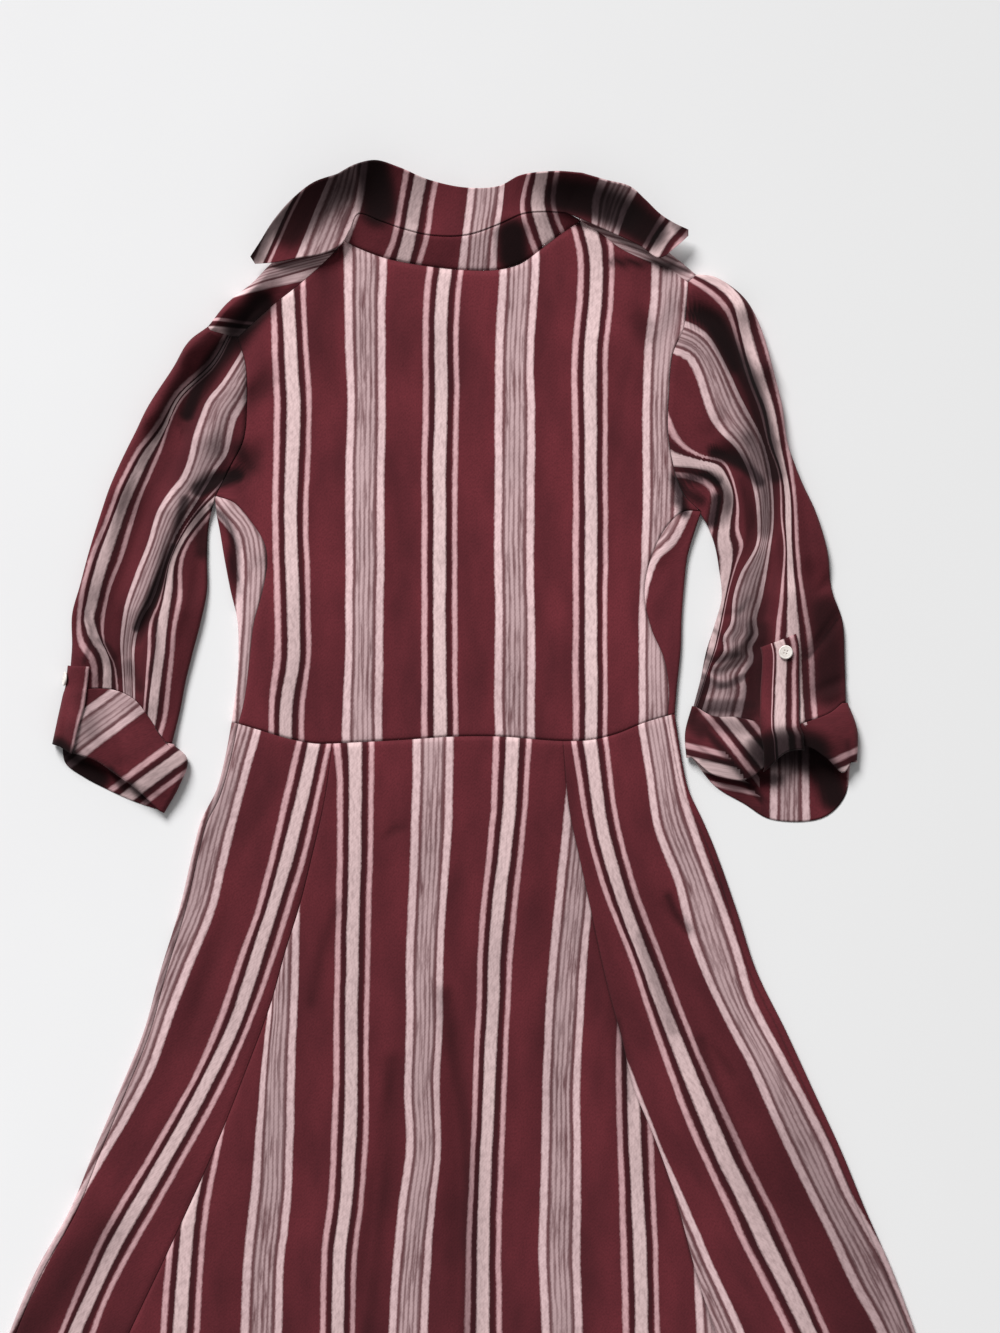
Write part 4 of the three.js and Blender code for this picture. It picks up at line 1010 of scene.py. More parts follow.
@functools.cache
def sleeve_and_cuff(name):
    """Sleeve and cuff of one side: two tubes that share the ring where the cuff is rolled up."""
    side = side_of(name)
    rows, out = side["rows"], side["out"]
    outer_line = curve([rows["shoulder_front"][-1], *rows["sleeve_outer"]], CELLS["sleeve"])
    inner_line = curve([rows["underarm"], *rows["sleeve_inner"]], CELLS["sleeve"])
    outer_in = inward_along(outer_line, -out, first=side["shoulder_in"])
    inner_in = inward_along(inner_line, out, first=(0, 1))
    outer_turns, inner_turns = turn_at(outer_line, outer_in), turn_at(inner_line, inner_in)
    outer_turns[0] = turn_at(rows["shoulder_front"][-1], side["shoulder_in"])
    inner_turns[0] = turn_at(rows["underarm"], (0, 1))
    roll = mix(plan(outer_turns[0, -1]), side["shoulder_seam"][-1],
               np.linspace(0, 1, CELLS["roll"] + 1)[:, None])
    top_start = np.vstack([roll, side["armhole"][::-1][1:]])
    low_start = side["armhole_low"][::-1]
    counts = len(top_start) - 1, len(low_start) - 1

    def between(first, table, last, count):
        return curve([plan(first), *table, plan(last)], count)

    ends = outer_turns[-1], inner_turns[-1]
    upper, sleeve = tube_sheets(
        outer_turns, inner_turns,
        (top_start, between(ends[0][-1], rows["sleeve_end"], ends[1][-1], counts[0])),
        (low_start, between(ends[0][0], rows["sleeve_end"], ends[1][0], counts[1])),
        0.0, out < 0, {"low_share": 0.12, "high_share": 0.5, "sharp": 2.5},
        lambda points: stripes_at(points, STRIPE_LINES[f"sleeve_{name}"]), f"sleeve_{name}",
    )
    cuff_lines = [
        curve([line[-1], *table], CELLS["cuff"])
        for line, table in ((outer_line, rows["cuff_outer"]), (inner_line, rows["cuff_inner"]))
    ]
    cuff_turns = [
        turn_at(line, inward_along(line, hand, first=start), CUFF_PROUD)
        for line, hand, start in zip(cuff_lines, (-out, out), (outer_in[-1], inner_in[-1]))
    ]
    first, last = [turns[0] for turns in cuff_turns], [turns[-1] for turns in cuff_turns]
    cuff_upper, cuff = tube_sheets(
        cuff_turns[0], cuff_turns[1],
        (between(first[0][-1], rows["sleeve_end"], first[1][-1], counts[0]),
         between(last[0][-1], rows["mouth_top"], last[1][-1], counts[0])),
        (between(first[0][0], rows["sleeve_end"], first[1][0], counts[1]),
         between(last[0][0], rows["mouth_low"], last[1][0], counts[1])),
        CUFF_PROUD, out < 0, {},
        lambda points: cuff_place(cells(points), name), f"cuff_{name}",
    )
    return {"sleeve": sleeve, "cuff": cuff, "upper": upper, "cuff_upper": cuff_upper, "out": out}


def slanted(points, layer):
    """Place across stripes that run at a slant: the distance along their normal, less a start."""
    slant, start = layer
    angle = np.radians(slant)
    return points[..., 0] * np.cos(angle) + points[..., 1] * np.sin(angle) - start


def cuff_place(corners, name):
    """Stripes at the corners of a rolled cuff's cells. They run at a slant, and on the right, where the
    roll lies in folded layers, each layer has its own slant and whole cells belong to one layer."""
    layers = CUFF_LAYERS[name]
    across = slanted(corners, layers["flap"])
    if name == "right":
        middle = corners.mean(axis=2, keepdims=True)
        under = slanted(middle, layers["flap"]) < RIGHT_CUFF["under_from"]
        across = np.where(under, slanted(corners, layers["under"]), across)
        outer = np.maximum(slanted(corners, layers["outer"]), RIGHT_CUFF["outer_least"])
        across = np.where(middle[..., 0] > RIGHT_CUFF["outer_x"], outer, across)
        inside = (middle[..., 2] < RIGHT_CUFF["inside_z"]) & (middle[..., 0] > RIGHT_CUFF["inside_x"])
        across = np.where(inside, slanted(corners, layers["inside"]), across)
    return across


def normals_of(points):
    """Unit normals of a grid, across its two directions."""
    normal = np.cross(np.gradient(points, axis=1), np.gradient(points, axis=0))
    return normal / (np.linalg.norm(normal, axis=-1, keepdims=True) + 1e-9)


def tab_sheet(name, arm):
    """A tab: the strip of the sleeve and its cuff that lies under it, moved out along the normals."""
    place = TABS[name]
    rows = []
    for points, start in ((arm["upper"], place["start"]), (arm["cuff_upper"], 0.0)):
        normal = normals_of(points)
        normal *= np.sign(normal[:, points.shape[1] // 2, 2].mean())
        raised = points + normal * TAB_RISE
        top = points.shape[1] - 1 - 2 * CELLS["arc"]
        if "from_fold" in place:
            first = place["from_fold"] * CELLS["arc"]
        else:
            first = CELLS["arc"] + place["from_top"] * top
        last = CELLS["arc"] + place["to_top"] * top
        columns = np.linspace(first, last, TAB_COLUMNS)
        whole = np.minimum(columns.astype(int), points.shape[1] - 2)
        strip = mix(raised[:, whole], raised[:, whole + 1], (columns - whole)[None, :, None])
        rows.append(strip[int(round(start * (len(strip) - 1))):])
    strip = np.vstack([rows[0][:-1], rows[1]])
    for _ in range(6):
        strip[1:-1] = (strip[:-2] + 2 * strip[1:-1] + strip[2:]) / 4
    if name == "right":
        step = strip[-1] - strip[-3]
        step[:, 2] = 0
        step /= np.linalg.norm(step, axis=1)[:, None]
        bend = np.linspace(0, np.pi / 2, CELLS["turn_in"] + 1)[1:, None, None]
        inward = strip[-1][None] + step[None] * TAB_TURN["out"] * np.sin(bend)
        inward[..., 2] -= (TAB_TURN["down"] * (1 - np.cos(bend)))[..., 0]
        strip = np.vstack([strip, inward])
    width = np.concatenate([[0], np.cumsum(np.linalg.norm(np.diff(strip[0], axis=0), axis=1))])
    start, hidden, squeeze = TAB_STRIPE[name]
    across = start - width * arm["out"] * squeeze
    across = np.where(across < -7.5, across - hidden, across)
    strip = pinch(strip, ["left", "right", "low"], 0.5, 1.2)
    return Sheet(strip, across, arm["out"] < 0, f"cuff_{name}")


def skirt_lines(name):
    """Side folds, side seam and gore seam of one side of the skirt, from the waist to the hem."""
    side = side_of(name)
    rows, out = side["rows"], side["out"]
    line = curve([WAIST_CORNER[name], *rows["skirt"]], CELLS["skirt"])
    inward = inward_along(line, -out, first=(-out, 0))
    turns = turn_at(line, inward)
    waist_seam = WAIST["left"][0] if out < 0 else WAIST["right"][-1]
    seam = plan(turns[:, -1]) + inward * SIDE_WRAP
    eased = np.clip(1 - np.linspace(0, 12, len(seam)), 0, 1)[:, None]
    seam = mix(seam, np.broadcast_to(waist_seam, seam.shape), eased)
    return {
        "out": out, "turns": turns, "side_seam": seam, "waist_turn": side["waist_turn"],
        "gore_seam": curve(rows["skirt_seam"], CELLS["skirt"]),
    }


def hem_between(a, b, count):
    """A hem line that hangs three millimetres lower in its middle."""
    return curve([a, mix(a, b, 0.5) - (0, 3), b], count)


def back_skirt_sheets(name):
    """A panel of the back skirt: a patch between the waist, its two seams and the hem."""
    left, right = skirt_lines("left"), skirt_lines("right")
    if name == "center":
        edges = left["gore_seam"], right["gore_seam"]
        low = curve(WAIST["middle"], CELLS["panel"])
        hem = curve([edges[0][-1], (-40, HEM_Y), edges[1][-1]], CELLS["panel"])
    else:
        gores = {
            "left": (left["side_seam"], left["gore_seam"]), "right": (right["gore_seam"], right["side_seam"]),
        }
        edges = gores[name]
        low = curve(WAIST[name], CELLS["gore_skirt"])
        hem = hem_between(edges[0][-1], edges[1][-1], CELLS["gore_skirt"])
    points = pinch(on_top(patch(low, hem, *edges)), ["low", "left", "right"])
    return [Sheet(points, stripes_at(points, STRIPE_LINES[f"skirt_{name}"]), True, "dress")]


def front_skirt_sheets(name):
    """A front of the skirt: a patch on the floor that turns up round the side to the back's seam."""
    lines = skirt_lines(name)
    out = lines["out"]
    middle = out * PLACKET_WIDTH / 2
    edge = plan(lines["turns"][:, 0])
    waist = curve([(middle, 3), (middle + out * 90, 0), plan(lines["waist_turn"][0])], CELLS["gore"])
    hem = hem_between((middle, FRONT_HEM_Y), edge[-1], CELLS["gore"])
    centre = curve([(middle, 3), (middle, FRONT_HEM_Y)], CELLS["skirt"])
    floor = on_floor(patch(waist, hem, centre, edge))
    wrap = pinch(wrapped(lines["turns"], lines["side_seam"], 2), ["right"])
    across = stripes_at(wrap, STRIPE_LINES[f"skirt_{name}"])
    return [
        Sheet(floor, front_place(floor), turned=out < 0),
        Sheet(wrap, across, out < 0, "dress"),
    ]


def placket_sheets():
    """The placket: a straight strip that lies just over the floor, on its buttons."""
    half = PLACKET_WIDTH / 2 - SEAM
    down = np.linspace(FRONT_HEM_Y + SEAM, NECK_FRONT_Y - SEAM, CELLS["placket"] + 1)
    x, y = np.meshgrid(np.linspace(-half, half, CELLS["placket_across"] + 1), down)
    points = on_floor(np.stack([x, y], axis=-1), PLACKET_LIFT)
    return [Sheet(points, x + PLACKET_STRIPE, turned=True)]


def collar_sheets():
    """Stand and leaf of the collar: straight rows from the neck seam to the stand's top, and rows from
    there to the rim that rise late, by a power of their share."""
    neck = on_top(curve(NECK_SEAM, CELLS["neck"]))
    stand_top = curve(COLLAR["stand_top"], CELLS["neck"])
    share = np.linspace(0, 1, CELLS["stand"] + 1)[:, None, None]
    stand = pinch(mix(neck, stand_top, share), ["low", "high"], 0.8, 1.8)
    edge = np.vstack([
        curve(COLLAR["left_edge"], CELLS["leaf_end"]), stand_top[1:],
        curve(COLLAR["right_edge"], CELLS["leaf_end"])[1:],
    ])
    rim = np.vstack([
        curve(COLLAR["left_rim"], CELLS["leaf_end"]), curve(COLLAR["middle_rim"], CELLS["neck"])[1:],
        curve(COLLAR["right_rim"], CELLS["leaf_end"])[1:],
    ])
    share = np.linspace(0, 1, CELLS["leaf"] + 1)[:, None, None]
    leaf = mix(edge, rim, share)
    leaf[..., 2] = (edge[:, 2] + (rim[:, 2] - edge[:, 2]) * share[..., 0] ** COLLAR["curl"])
    return [
        [Sheet(points, stripes_at(points, STRIPE_LINES["collar"]), shades="collar")]
        for points in (stand, leaf)
    ]


def button_seat(sheet, place):
    """Middle and direction of a button on a tab: the normal at its share of the tab's grid."""
    row, share = place
    column = int(round(share * (sheet.points.shape[1] - 1)))
    normal = normals_of(sheet.points)[row, column]
    normal *= np.sign(normal[2])
    return sheet.points[row, column] + normal * 0.7, normal


def button_mesh(name, middle, up, radius, thick, rim=0.16, hole=0.085, apart=0.2):
    """A four-hole button: a disc turned about its axis, dished inside its rim, whose face sinks in a bell
    at each of the four holes. Lengths are shares of the radius."""
    up = np.asarray(up, float) / np.linalg.norm(up)
    side = np.cross(up, (0.3, 1.0, 0.1))
    side /= np.linalg.norm(side)
    ahead = np.cross(up, side)
    face = np.linspace(0, 1, CELLS["button_face"] + 1)
    reach = np.concatenate([face, [1.0, 0.9, 0.0]])
    crown = 1 - 0.22 * np.clip(1 - ((1 - face) / rim) ** 2, 0, 1) * (face > 1 - rim)
    dish = np.where(face < 1 - rim, 0.86, crown)
    dish = np.convolve(np.pad(dish, 1, mode="edge"), [0.25, 0.5, 0.25], mode="valid")
    level = np.concatenate([dish - (face > 0.97) * 0.15, [0.2, 0.0, 0.0]])
    turn = np.linspace(0, 2 * np.pi, CELLS["button_round"] + 1)[:, None]
    x, y = reach * np.cos(turn), reach * np.sin(turn)
    height = np.broadcast_to(level, x.shape).copy()
    for a, b in ((1, 1), (1, -1), (-1, 1), (-1, -1)):
        away = np.hypot(x - a * apart, y - b * apart)
        on_face = np.arange(len(reach)) < len(face)
        height -= 0.6 * on_face * np.clip(1.3 - away / hole, 0, 1)
    x, y, height = (values[..., None] for values in (x * radius, y * radius, height * thick))
    points = np.asarray(middle, float) + x * side + y * ahead + height * up
    sheet = Sheet(points, 0.0, turned=True)
    sheet.painted_shade *= 0
    return mesh_piece(name, [sheet])


class Value:
    """A shader socket that Python's operators work on. Each operation adds one Math node."""

    def __init__(self, recipe, socket):
        self.recipe, self.socket = recipe, socket

    def math(self, operation, *others):
        sockets = {k: other for k, other in enumerate((self, *others))}
        made = self.recipe.node("ShaderNodeMath", {"operation": operation}, sockets)
        return Value(self.recipe, made.outputs[0])

    def swapped(self, operation, other):
        made = self.recipe.node("ShaderNodeMath", {"operation": operation}, {0: other, 1: self})
        return Value(self.recipe, made.outputs[0])

    def __add__(self, other):
        return self.math("ADD", other)

    def __radd__(self, other):
        return self.swapped("ADD", other)

    def __sub__(self, other):
        return self.math("SUBTRACT", other)

    def __rsub__(self, other):
        return self.swapped("SUBTRACT", other)

    def __mul__(self, other):
        return self.math("MULTIPLY", other)

    def __rmul__(self, other):
        return self.swapped("MULTIPLY", other)

    def size(self):
        return self.math("ABSOLUTE")

    def wrapped(self, low, high):
        return self.math("WRAP", high, low)

    def over(self, low, high):
        """0 below low, 1 above high and even between them."""
        made = self.recipe.node(
            "ShaderNodeMapRange", {"clamp": True},
            {"Value": self, "From Min": low, "From Max": high, "To Min": 0.0, "To Max": 1.0},
        )
        return Value(self.recipe, made.outputs[0])


class Recipe:
    """A material that is written as expressions."""

    def __init__(self, name):
        self.material = bpy.data.materials.new(name)
        self.material.use_nodes = True
        self.tree = self.material.node_tree
        self.tree.nodes.clear()

    def node(self, kind, settings=None, sockets=None):
        """Adds a node: its settings first, then the values or links of its sockets."""
        made = self.tree.nodes.new(kind)
        for key, value in (settings or {}).items():
            setattr(made, key, value)
        for key, value in (sockets or {}).items():
            if isinstance(value, Value):
                value = value.socket
            if isinstance(value, bpy.types.NodeSocket):
                self.tree.links.new(value, made.inputs[key])
            else:
                made.inputs[key].default_value = value
        return made

    def value(self, node, output=0):
        return Value(self, node.outputs[output])

    def noise(self, place, scale, stretch=(1, 1, 1), detail=2.0):
        """Noise from 0 to 1 over a place, with a cell of 1 / scale, drawn out by stretch."""
        drawn = self.node("ShaderNodeMapping", {"vector_type": "POINT"}, {"Vector": place, "Scale": stretch})
        made = self.node(
            "ShaderNodeTexNoise", {"noise_dimensions": "3D"},
            {"Vector": drawn.outputs[0], "Scale": scale, "Detail": detail, "Roughness": 0.55},
        )
        return Value(self, made.outputs["Fac"])

    def mix(self, share, a, b, blend="MIX"):
        """Colour that goes from a to b with share."""
        made = self.node(
            "ShaderNodeMix", {"data_type": "RGBA", "blend_type": blend, "clamp_factor": True},
            {0: share, 6: a, 7: b},
        )
        return made.outputs[2]

    def finish(self, shader):
        out = self.node("ShaderNodeOutputMaterial")
        self.tree.links.new(shader.outputs[0], out.inputs["Surface"])
        return self.material


def linear(red, green, blue):
    """A colour given 0 to 255, as linear light with its alpha."""
    shares = [value / 255 for value in (red, green, blue)]
    return tuple(v / 12.92 if v <= 0.04045 else ((v + 0.055) / 1.055) ** 2.4 for v in shares) + (1.0,)


def cloth_recipe(name, colours):
    """Striped woven cloth. The place across the cloth, wrapped into one repeat, picks the stripe; slubs of
    the yarn fray the stripes' edges and speckle them, and hollows are darker with painted shade."""
    recipe = Recipe(name)
    uv = recipe.node("ShaderNodeUVMap", {"uv_map": "cloth"}).outputs[0]
    apart = recipe.node("ShaderNodeSeparateXYZ", sockets={0: uv})
    across = recipe.value(apart, 0) * 1000.0
    along = recipe.value(apart, 1) * 1000.0
    fray = recipe.noise(uv, 620, (1, 0.5, 1), 3.0) - 0.5
    drift = recipe.noise(uv, 18, (1, 0.6, 1), 3.0) - 0.5
    place = (across + fray * FRAY + drift * DRIFT).wrapped(REPEAT_START, REPEAT + REPEAT_START)
    slub = recipe.noise(uv, 420, (1, 0.35, 1), 3.0)
    dashes = recipe.noise(uv, 300, (1.0, 0.1, 1), 3.0)
    patches = recipe.noise(uv, 22, (1.2, 0.5, 1), 2.0)

    def band(middle, width, soft=SOFT):
        return 1.0 - ((place - middle).size() - (width / 2 - soft / 2)).over(0.0, soft)

    masks = {}
    for middle, width, yarn in STRIPES:
        mask = band(middle, width)
        masks[yarn] = masks[yarn] + mask if yarn in masks else mask
    ground = recipe.mix(patches.over(0.35, 0.7), colours["ground"], colours["ground_low"])
    ground = recipe.mix(recipe.noise(uv, 700, (1, 0.7, 1), 3.0).over(0.4, 0.8) * 0.45, ground,
                        colours["gap"])
    body = recipe.mix(band(*SHADED[0], 2.5) * 0.8, ground, colours["gap"])
    body = recipe.mix(band(*SHADED[1], 2.5), body, colours["between"])
    fine = masks["fine"] * dashes.over(0.3, 0.52) + band(63.9, 17.0, 3.0) * patches.over(0.42, 0.62) * 0.3
    body = recipe.mix(fine, body, colours["fine"])
    speckled = slub.over(0.3, 0.6) * 0.3 + 0.72
    body = recipe.mix(masks["pink"] * speckled, body, colours["pink"])
    body = recipe.mix(masks["pale"] * speckled, body, colours["pale"])
    body = recipe.mix(masks["cream"] * speckled, body, colours["cream"])
    # Painted shade: the attribute multiplies the cloth towards the dark shade colour in hollows, creases and
    # between the layers
    painted_shade = recipe.node("ShaderNodeAttribute", {"attribute_name": "painted_shade"})
    waves = recipe.noise(uv, 11, (1.6, 0.7, 1), 4.0).over(0.48, 0.78)
    body = recipe.mix(waves * 0.24, body, colours["deep"], "MULTIPLY")
    body = recipe.mix(recipe.value(painted_shade, 2), body, colours["deep"], "MULTIPLY")
    weft = (along * 1.9).math("SINE") * 0.5
    warp = (across * 1.9).math("SINE") * 0.5
    rough = recipe.noise(uv, 260, (1, 1, 1), 4.0)
    crinkle = recipe.noise(uv, 60, (1, 0.5, 1), 3.0)
    relief = weft * warp * 0.2 + rough * 0.35 + crinkle * 1.3 + masks["cream"] * 0.2
    relief = relief + masks["pale"] * 0.2
    bump = recipe.node(
        "ShaderNodeBump", None, {"Strength": 0.6, "Distance": 0.0007, "Height": relief},
    )
    shader = recipe.node(
        "ShaderNodeBsdfPrincipled", None,
        {"Base Color": body, "Roughness": 0.9, "Specular IOR Level": 0.15, "Sheen Weight": 0.05,
         "Sheen Roughness": 0.5, "Normal": bump.outputs[0]},
    )
    return recipe.finish(shader)


def button_recipe(name, colour):
    """Pale pressed plastic with faint pearly clouds."""
    recipe = Recipe(name)
    place = recipe.node("ShaderNodeTexCoord").outputs["Object"]
    cloud = recipe.noise(place, 240, (1, 1, 1), 3.0)
    body = recipe.mix(cloud.over(0.35, 0.7) * 0.6, colour, linear(196, 184, 176))
    shader = recipe.node(
        "ShaderNodeBsdfPrincipled", None,
        {"Base Color": body, "Roughness": 0.3, "Coat Weight": 0.25},
    )
    return recipe.finish(shader)


def floor_recipe(name, colour):
    """Plain pale floor with a trace of unevenness, and painted shade that darkens it towards the right."""
    recipe = Recipe(name)
    place = recipe.node("ShaderNodeTexCoord").outputs["Object"]
    cloud = recipe.noise(place, 3.0, (1, 1, 1), 3.0)
    body = recipe.mix(cloud.over(0.3, 0.8) * 0.5, colour, linear(234, 233, 234))
    # Painted shade: the floor grows darker towards the right
    apart = recipe.node("ShaderNodeSeparateXYZ", sockets={0: place})
    body = recipe.mix(recipe.value(apart, 0).over(-0.45, 0.5) * 0.8, body, linear(226, 226, 226))
    shader = recipe.node(
        "ShaderNodeBsdfPrincipled", None,
        {"Base Color": body, "Roughness": 0.95, "Specular IOR Level": 0.1},
    )
    return recipe.finish(shader)


MATERIALS = {}


def cloth_material(slot):
    """The striped cloth of one material slot, made once from the panel's colours."""
    if slot not in MATERIALS:
        look = bpy.context.scene.dress_look
        colours = {
            "ground": (*look.ground, 1.0), "ground_low": (*look.ground_low, 1.0),
            "gap": (*look.gap, 1.0), "cream": (*look.cream, 1.0), "pink": (*look.pink, 1.0),
            "pale": (*look.pale, 1.0), "fine": (*look.fine, 1.0), "between": (*look.between, 1.0),
            # dark colour of the painted shade in hollows, creases and between the layers, also of broad
            # darker patches
            "deep": (0.06, 0.05, 0.055, 1.0),
        }
        MATERIALS[slot] = cloth_recipe(slot, colours)
    return MATERIALS[slot]


def colour_property(name, description, picked):
    return FloatVectorProperty(
        name=name, description=description, subtype="COLOR", size=3, min=0.0, max=1.0,
        default=linear(*picked)[:3],
    )


class DressLook(bpy.types.PropertyGroup):
    """Colours of the yarns and of the buttons, and the cloth's thickness."""

    ground: colour_property("Ground", "Burgundy ground of the cloth", (112, 44, 52))
    ground_low: colour_property("Ground, deeper", "Deeper patches of the ground", (88, 34, 41))
    gap: colour_property("Gap", "Dark lines between the stripes", (58, 20, 25))
    cream: colour_property("Cream", "Wide cream stripe", (233, 202, 202))
    pink: colour_property("Pink", "Thin pink stripes", (222, 176, 180))
    pale: colour_property("Pale pink", "Pale stripes at both sides of the fine lines", (238, 204, 206))
    fine: colour_property("Fine lines", "Broken fine lines between two pink stripes", (203, 172, 174))
    between: colour_property("Between lines", "Greyed ground between the fine lines", (116, 78, 81))
    button: colour_property("Button", "Pale plastic of the buttons", (238, 232, 226))
    cloth: FloatProperty(
        name="Cloth", description="Thickness of the cloth", default=0.7 * MM, min=0.0002, max=0.002,
        subtype="DISTANCE", unit="LENGTH",
    )
    collar: FloatProperty(
        name="Collar", description="Thickness of the stiffened collar", default=1.4 * MM, min=0.0005,
        max=0.003, subtype="DISTANCE", unit="LENGTH",
    )


class DressStage(bpy.types.PropertyGroup):
    """Light, floor and camera."""

    key: FloatProperty(name="Key light", description="Strength of the window light", default=4.1, min=0.0)
    sky: FloatProperty(name="Fill", description="Strength of the even light", default=0.26, min=0.0)
    height: FloatProperty(
        name="Camera height", description="Height of the camera over the floor", default=3.0, min=0.5,
        subtype="DISTANCE", unit="LENGTH",
    )
    span: FloatProperty(
        name="View width", description="Width of floor that the picture shows", default=0.86, min=0.1,
        subtype="DISTANCE", unit="LENGTH",
    )
    floor: colour_property("Floor", "Pale floor", (240, 240, 241))


def add_cloth(node, sheets, slot, wall=None):
    """One cloth piece from its grids, with its wall and finish, in place of its node."""
    piece = mesh_piece(f"cloth_{node}", sheets)
    shell = piece.modifiers.new("wall", "SOLIDIFY")
    shell.thickness = wall or bpy.context.scene.dress_look.cloth
    shell.offset = -1
    shell.use_rim = True
    piece.data.materials.append(cloth_material(slot))
    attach(piece, "root")
    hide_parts(node)


def add_button(node, middle, up, radius, thick):
    """One button in place of its node."""
    piece = button_mesh(f"shaped_{node}", middle, up, radius, thick)
    if "button" not in MATERIALS:
        MATERIALS["button"] = button_recipe("button", (*bpy.context.scene.dress_look.button, 1.0))
    piece.data.materials.append(MATERIALS["button"])
    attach(piece, "root")
    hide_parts(node)


class DRESS_OT_back(bpy.types.Operator):
    """Add the back of the bodice"""

    bl_idname = "dress.back"
    bl_label = "Back"

    def execute(self, context):
        add_cloth("back_bodice", back_bodice_sheets(), "striped_cloth")
        return {"FINISHED"}


class DRESS_OT_fronts(bpy.types.Operator):
    """Add the two fronts of the bodice"""

    bl_idname = "dress.fronts"
    bl_label = "Fronts"

    def execute(self, context):
        for name in ("left", "right"):
            add_cloth(f"front_bodice_{name}", front_bodice_sheets(name), "striped_cloth")
        return {"FINISHED"}


class DRESS_OT_skirt_back(bpy.types.Operator):
    """Add the three panels of the back skirt"""

    bl_idname = "dress.skirt_back"
    bl_label = "Skirt back"

    def execute(self, context):
        for name in ("left", "center", "right"):
            add_cloth(f"back_skirt_{name}", back_skirt_sheets(name), "striped_cloth")
        return {"FINISHED"}


class DRESS_OT_skirt_front(bpy.types.Operator):
    """Add the two fronts of the skirt"""

    bl_idname = "dress.skirt_front"
    bl_label = "Skirt front"

    def execute(self, context):
        for name in ("left", "right"):
            add_cloth(f"front_skirt_{name}", front_skirt_sheets(name), "striped_cloth")
        return {"FINISHED"}


class DRESS_OT_sleeves(bpy.types.Operator):
    """Add both sleeves"""

    bl_idname = "dress.sleeves"
    bl_label = "Sleeves"

    def execute(self, context):
        for name in ("left", "right"):
            add_cloth(f"sleeve_{name}", sleeve_and_cuff(name)["sleeve"], "striped_cloth")
        return {"FINISHED"}


class DRESS_OT_cuffs(bpy.types.Operator):
    """Add both rolled cuffs"""

    bl_idname = "dress.cuffs"
    bl_label = "Cuffs"

    def execute(self, context):
        for name in ("left", "right"):
            add_cloth(f"cuff_{name}", sleeve_and_cuff(name)["cuff"], "cuff_cloth")
        return {"FINISHED"}


class DRESS_OT_tabs(bpy.types.Operator):
    """Add the tabs that hold the cuffs, with their buttons"""

    bl_idname = "dress.tabs"
    bl_label = "Tabs"

    def execute(self, context):
        for name in ("left", "right"):
            sheet = tab_sheet(name, sleeve_and_cuff(name))
            add_cloth(f"tab_{name}", [sheet], "cuff_cloth")
            middle, up = button_seat(sheet, TABS[name]["button"])
            add_button(f"tab_button_{name}", middle, up, *BUTTONS["tab"])
        return {"FINISHED"}


class DRESS_OT_collar(bpy.types.Operator):
    """Add the stand and the opened leaf of the collar"""

    bl_idname = "dress.collar"
    bl_label = "Collar"

    def execute(self, context):
        wall = context.scene.dress_look.collar
        stand, leaf = collar_sheets()
        add_cloth("collar_stand", stand, "collar_cloth", wall)
        add_cloth("collar_leaf", leaf, "collar_cloth", wall)
        return {"FINISHED"}


class DRESS_OT_placket(bpy.types.Operator):
    """Add the placket that closes the fronts"""

    bl_idname = "dress.placket"
    bl_label = "Placket"

    def execute(self, context):
        add_cloth("front_placket", placket_sheets(), "striped_cloth")
        return {"FINISHED"}


class DRESS_OT_buttons(bpy.types.Operator):
    """Add the row of buttons under the placket"""

    bl_idname = "dress.buttons"
    bl_label = "Front buttons"

    def execute(self, context):
        radius, thick = BUTTONS["front"]
        for k in range(BUTTON_COUNT):
            middle = (0, BUTTON_TOP - BUTTON_STEP * k, thick)
            add_button(f"front_button_{k + 1:02d}", middle, (0, 0, -1), radius, thick)
        return {"FINISHED"}


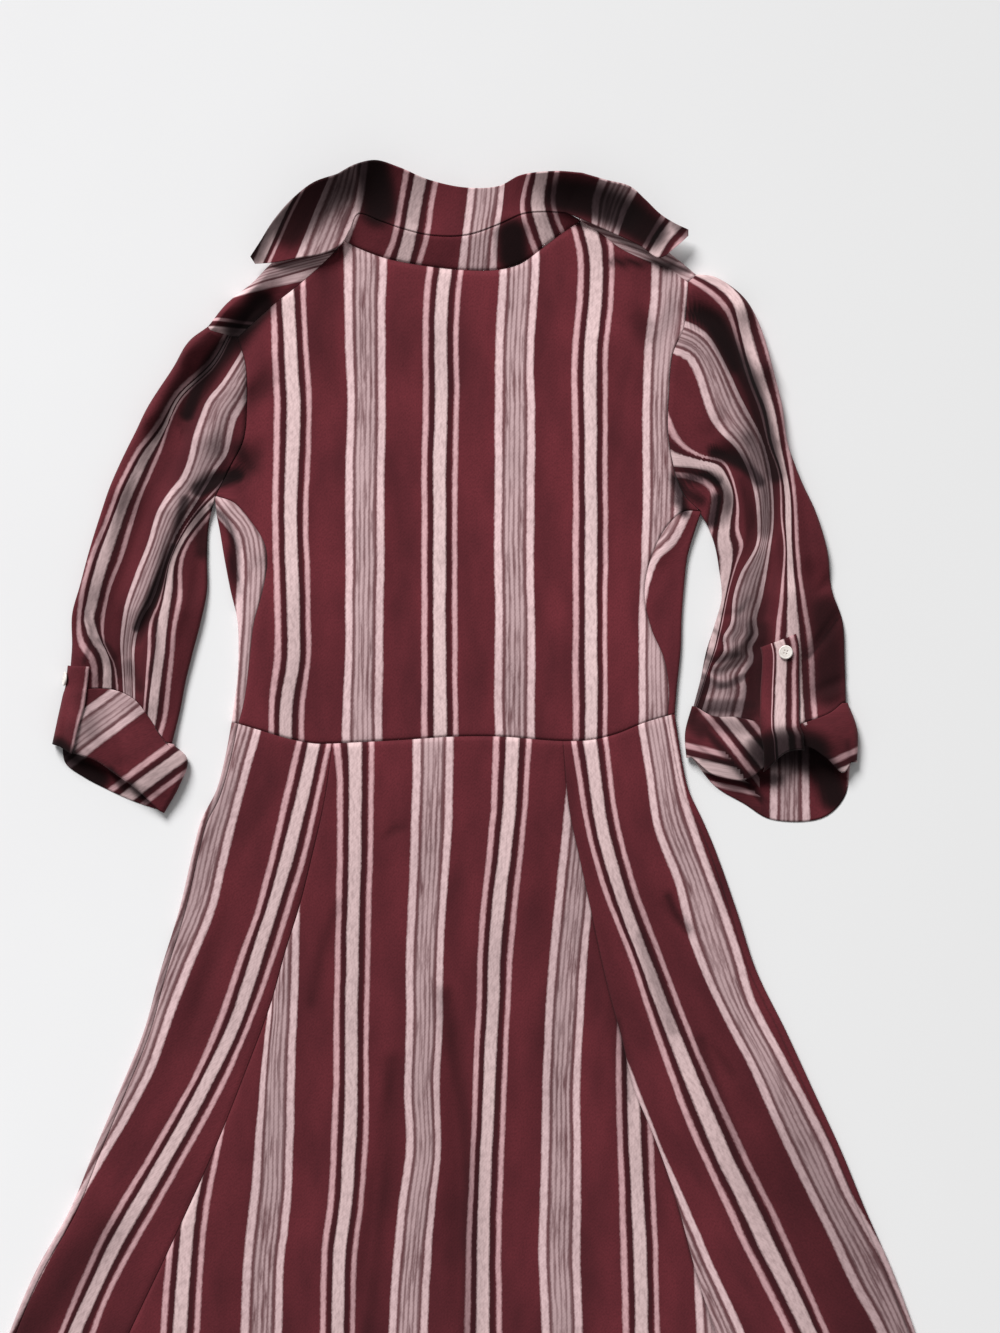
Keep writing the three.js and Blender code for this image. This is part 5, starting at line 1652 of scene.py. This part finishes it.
class DRESS_OT_stage(bpy.types.Operator):
    """Add the floor, the window light, the fill and the camera"""

    bl_idname = "dress.stage"
    bl_label = "Stage"

    def execute(self, context):
        scene = context.scene
        stage = scene.dress_stage
        aim = [middle * MM for middle in VIEW_MIDDLE]
        mesh = bpy.data.meshes.new("floor")
        square = ((-1, -1), (1, -1), (1, 1), (-1, 1))
        corners = [(x * FLOOR_REACH, y * FLOOR_REACH, 0) for x, y in square]
        mesh.from_pydata(corners, [], [(0, 1, 2, 3)])
        floor = bpy.data.objects.new("floor", mesh)
        mesh.materials.append(floor_recipe("floor", (*stage.floor, 1.0)))
        scene.collection.objects.link(floor)
        world = bpy.data.worlds.new("fill")
        world.use_nodes = True
        background = world.node_tree.nodes["Background"]
        background.inputs["Color"].default_value = (1.0, 1.0, 1.0, 1.0)
        background.inputs["Strength"].default_value = stage.sky
        scene.world = world
        key = bpy.data.lights.new("window", "SUN")
        key.energy = stage.key
        key.angle = WINDOW_ANGLE
        window = bpy.data.objects.new("window", key)
        direction = Vector(WINDOW_SIDE)
        window.location = direction * 3
        window.rotation_euler = direction.to_track_quat("Z", "Y").to_euler()
        scene.collection.objects.link(window)
        lens = bpy.data.cameras.new("camera")
        lens.sensor_width = SENSOR
        lens.lens = SENSOR * stage.height * VIEW_SHAPE / stage.span
        camera = bpy.data.objects.new("camera", lens)
        camera.location = (*aim, stage.height)
        scene.collection.objects.link(camera)
        scene.camera = camera
        scene.view_settings.view_transform = "Standard"
        return {"FINISHED"}


PIECES = (
    DRESS_OT_back, DRESS_OT_fronts, DRESS_OT_skirt_back, DRESS_OT_skirt_front, DRESS_OT_sleeves,
    DRESS_OT_cuffs, DRESS_OT_tabs, DRESS_OT_collar, DRESS_OT_placket, DRESS_OT_buttons, DRESS_OT_stage,
)


class DRESS_PT_panel(bpy.types.Panel):
    """Sidebar panel with the colours and one button for each group of pieces"""

    bl_idname = "DRESS_PT_panel"
    bl_label = "Shirt dress"
    bl_space_type = "VIEW_3D"
    bl_region_type = "UI"
    bl_category = "Dress"

    def draw(self, context):
        for settings in (context.scene.dress_look, context.scene.dress_stage):
            for key in settings.bl_rna.properties.keys():
                if key not in ("rna_type", "name"):
                    self.layout.prop(settings, key)
        for operator in PIECES:
            self.layout.operator(operator.bl_idname)


CLASSES = (DressLook, DressStage, *PIECES, DRESS_PT_panel)


def register():
    for made in CLASSES:
        bpy.utils.register_class(made)
    bpy.types.Scene.dress_look = PointerProperty(type=DressLook)
    bpy.types.Scene.dress_stage = PointerProperty(type=DressStage)


def unregister():
    del bpy.types.Scene.dress_stage
    del bpy.types.Scene.dress_look
    for made in reversed(CLASSES):
        bpy.utils.unregister_class(made)


def main():
    register()
    for operator in PIECES:
        group, name = operator.bl_idname.split(".")
        getattr(getattr(bpy.ops, group), name)()


if __name__ == "__main__":
    main()
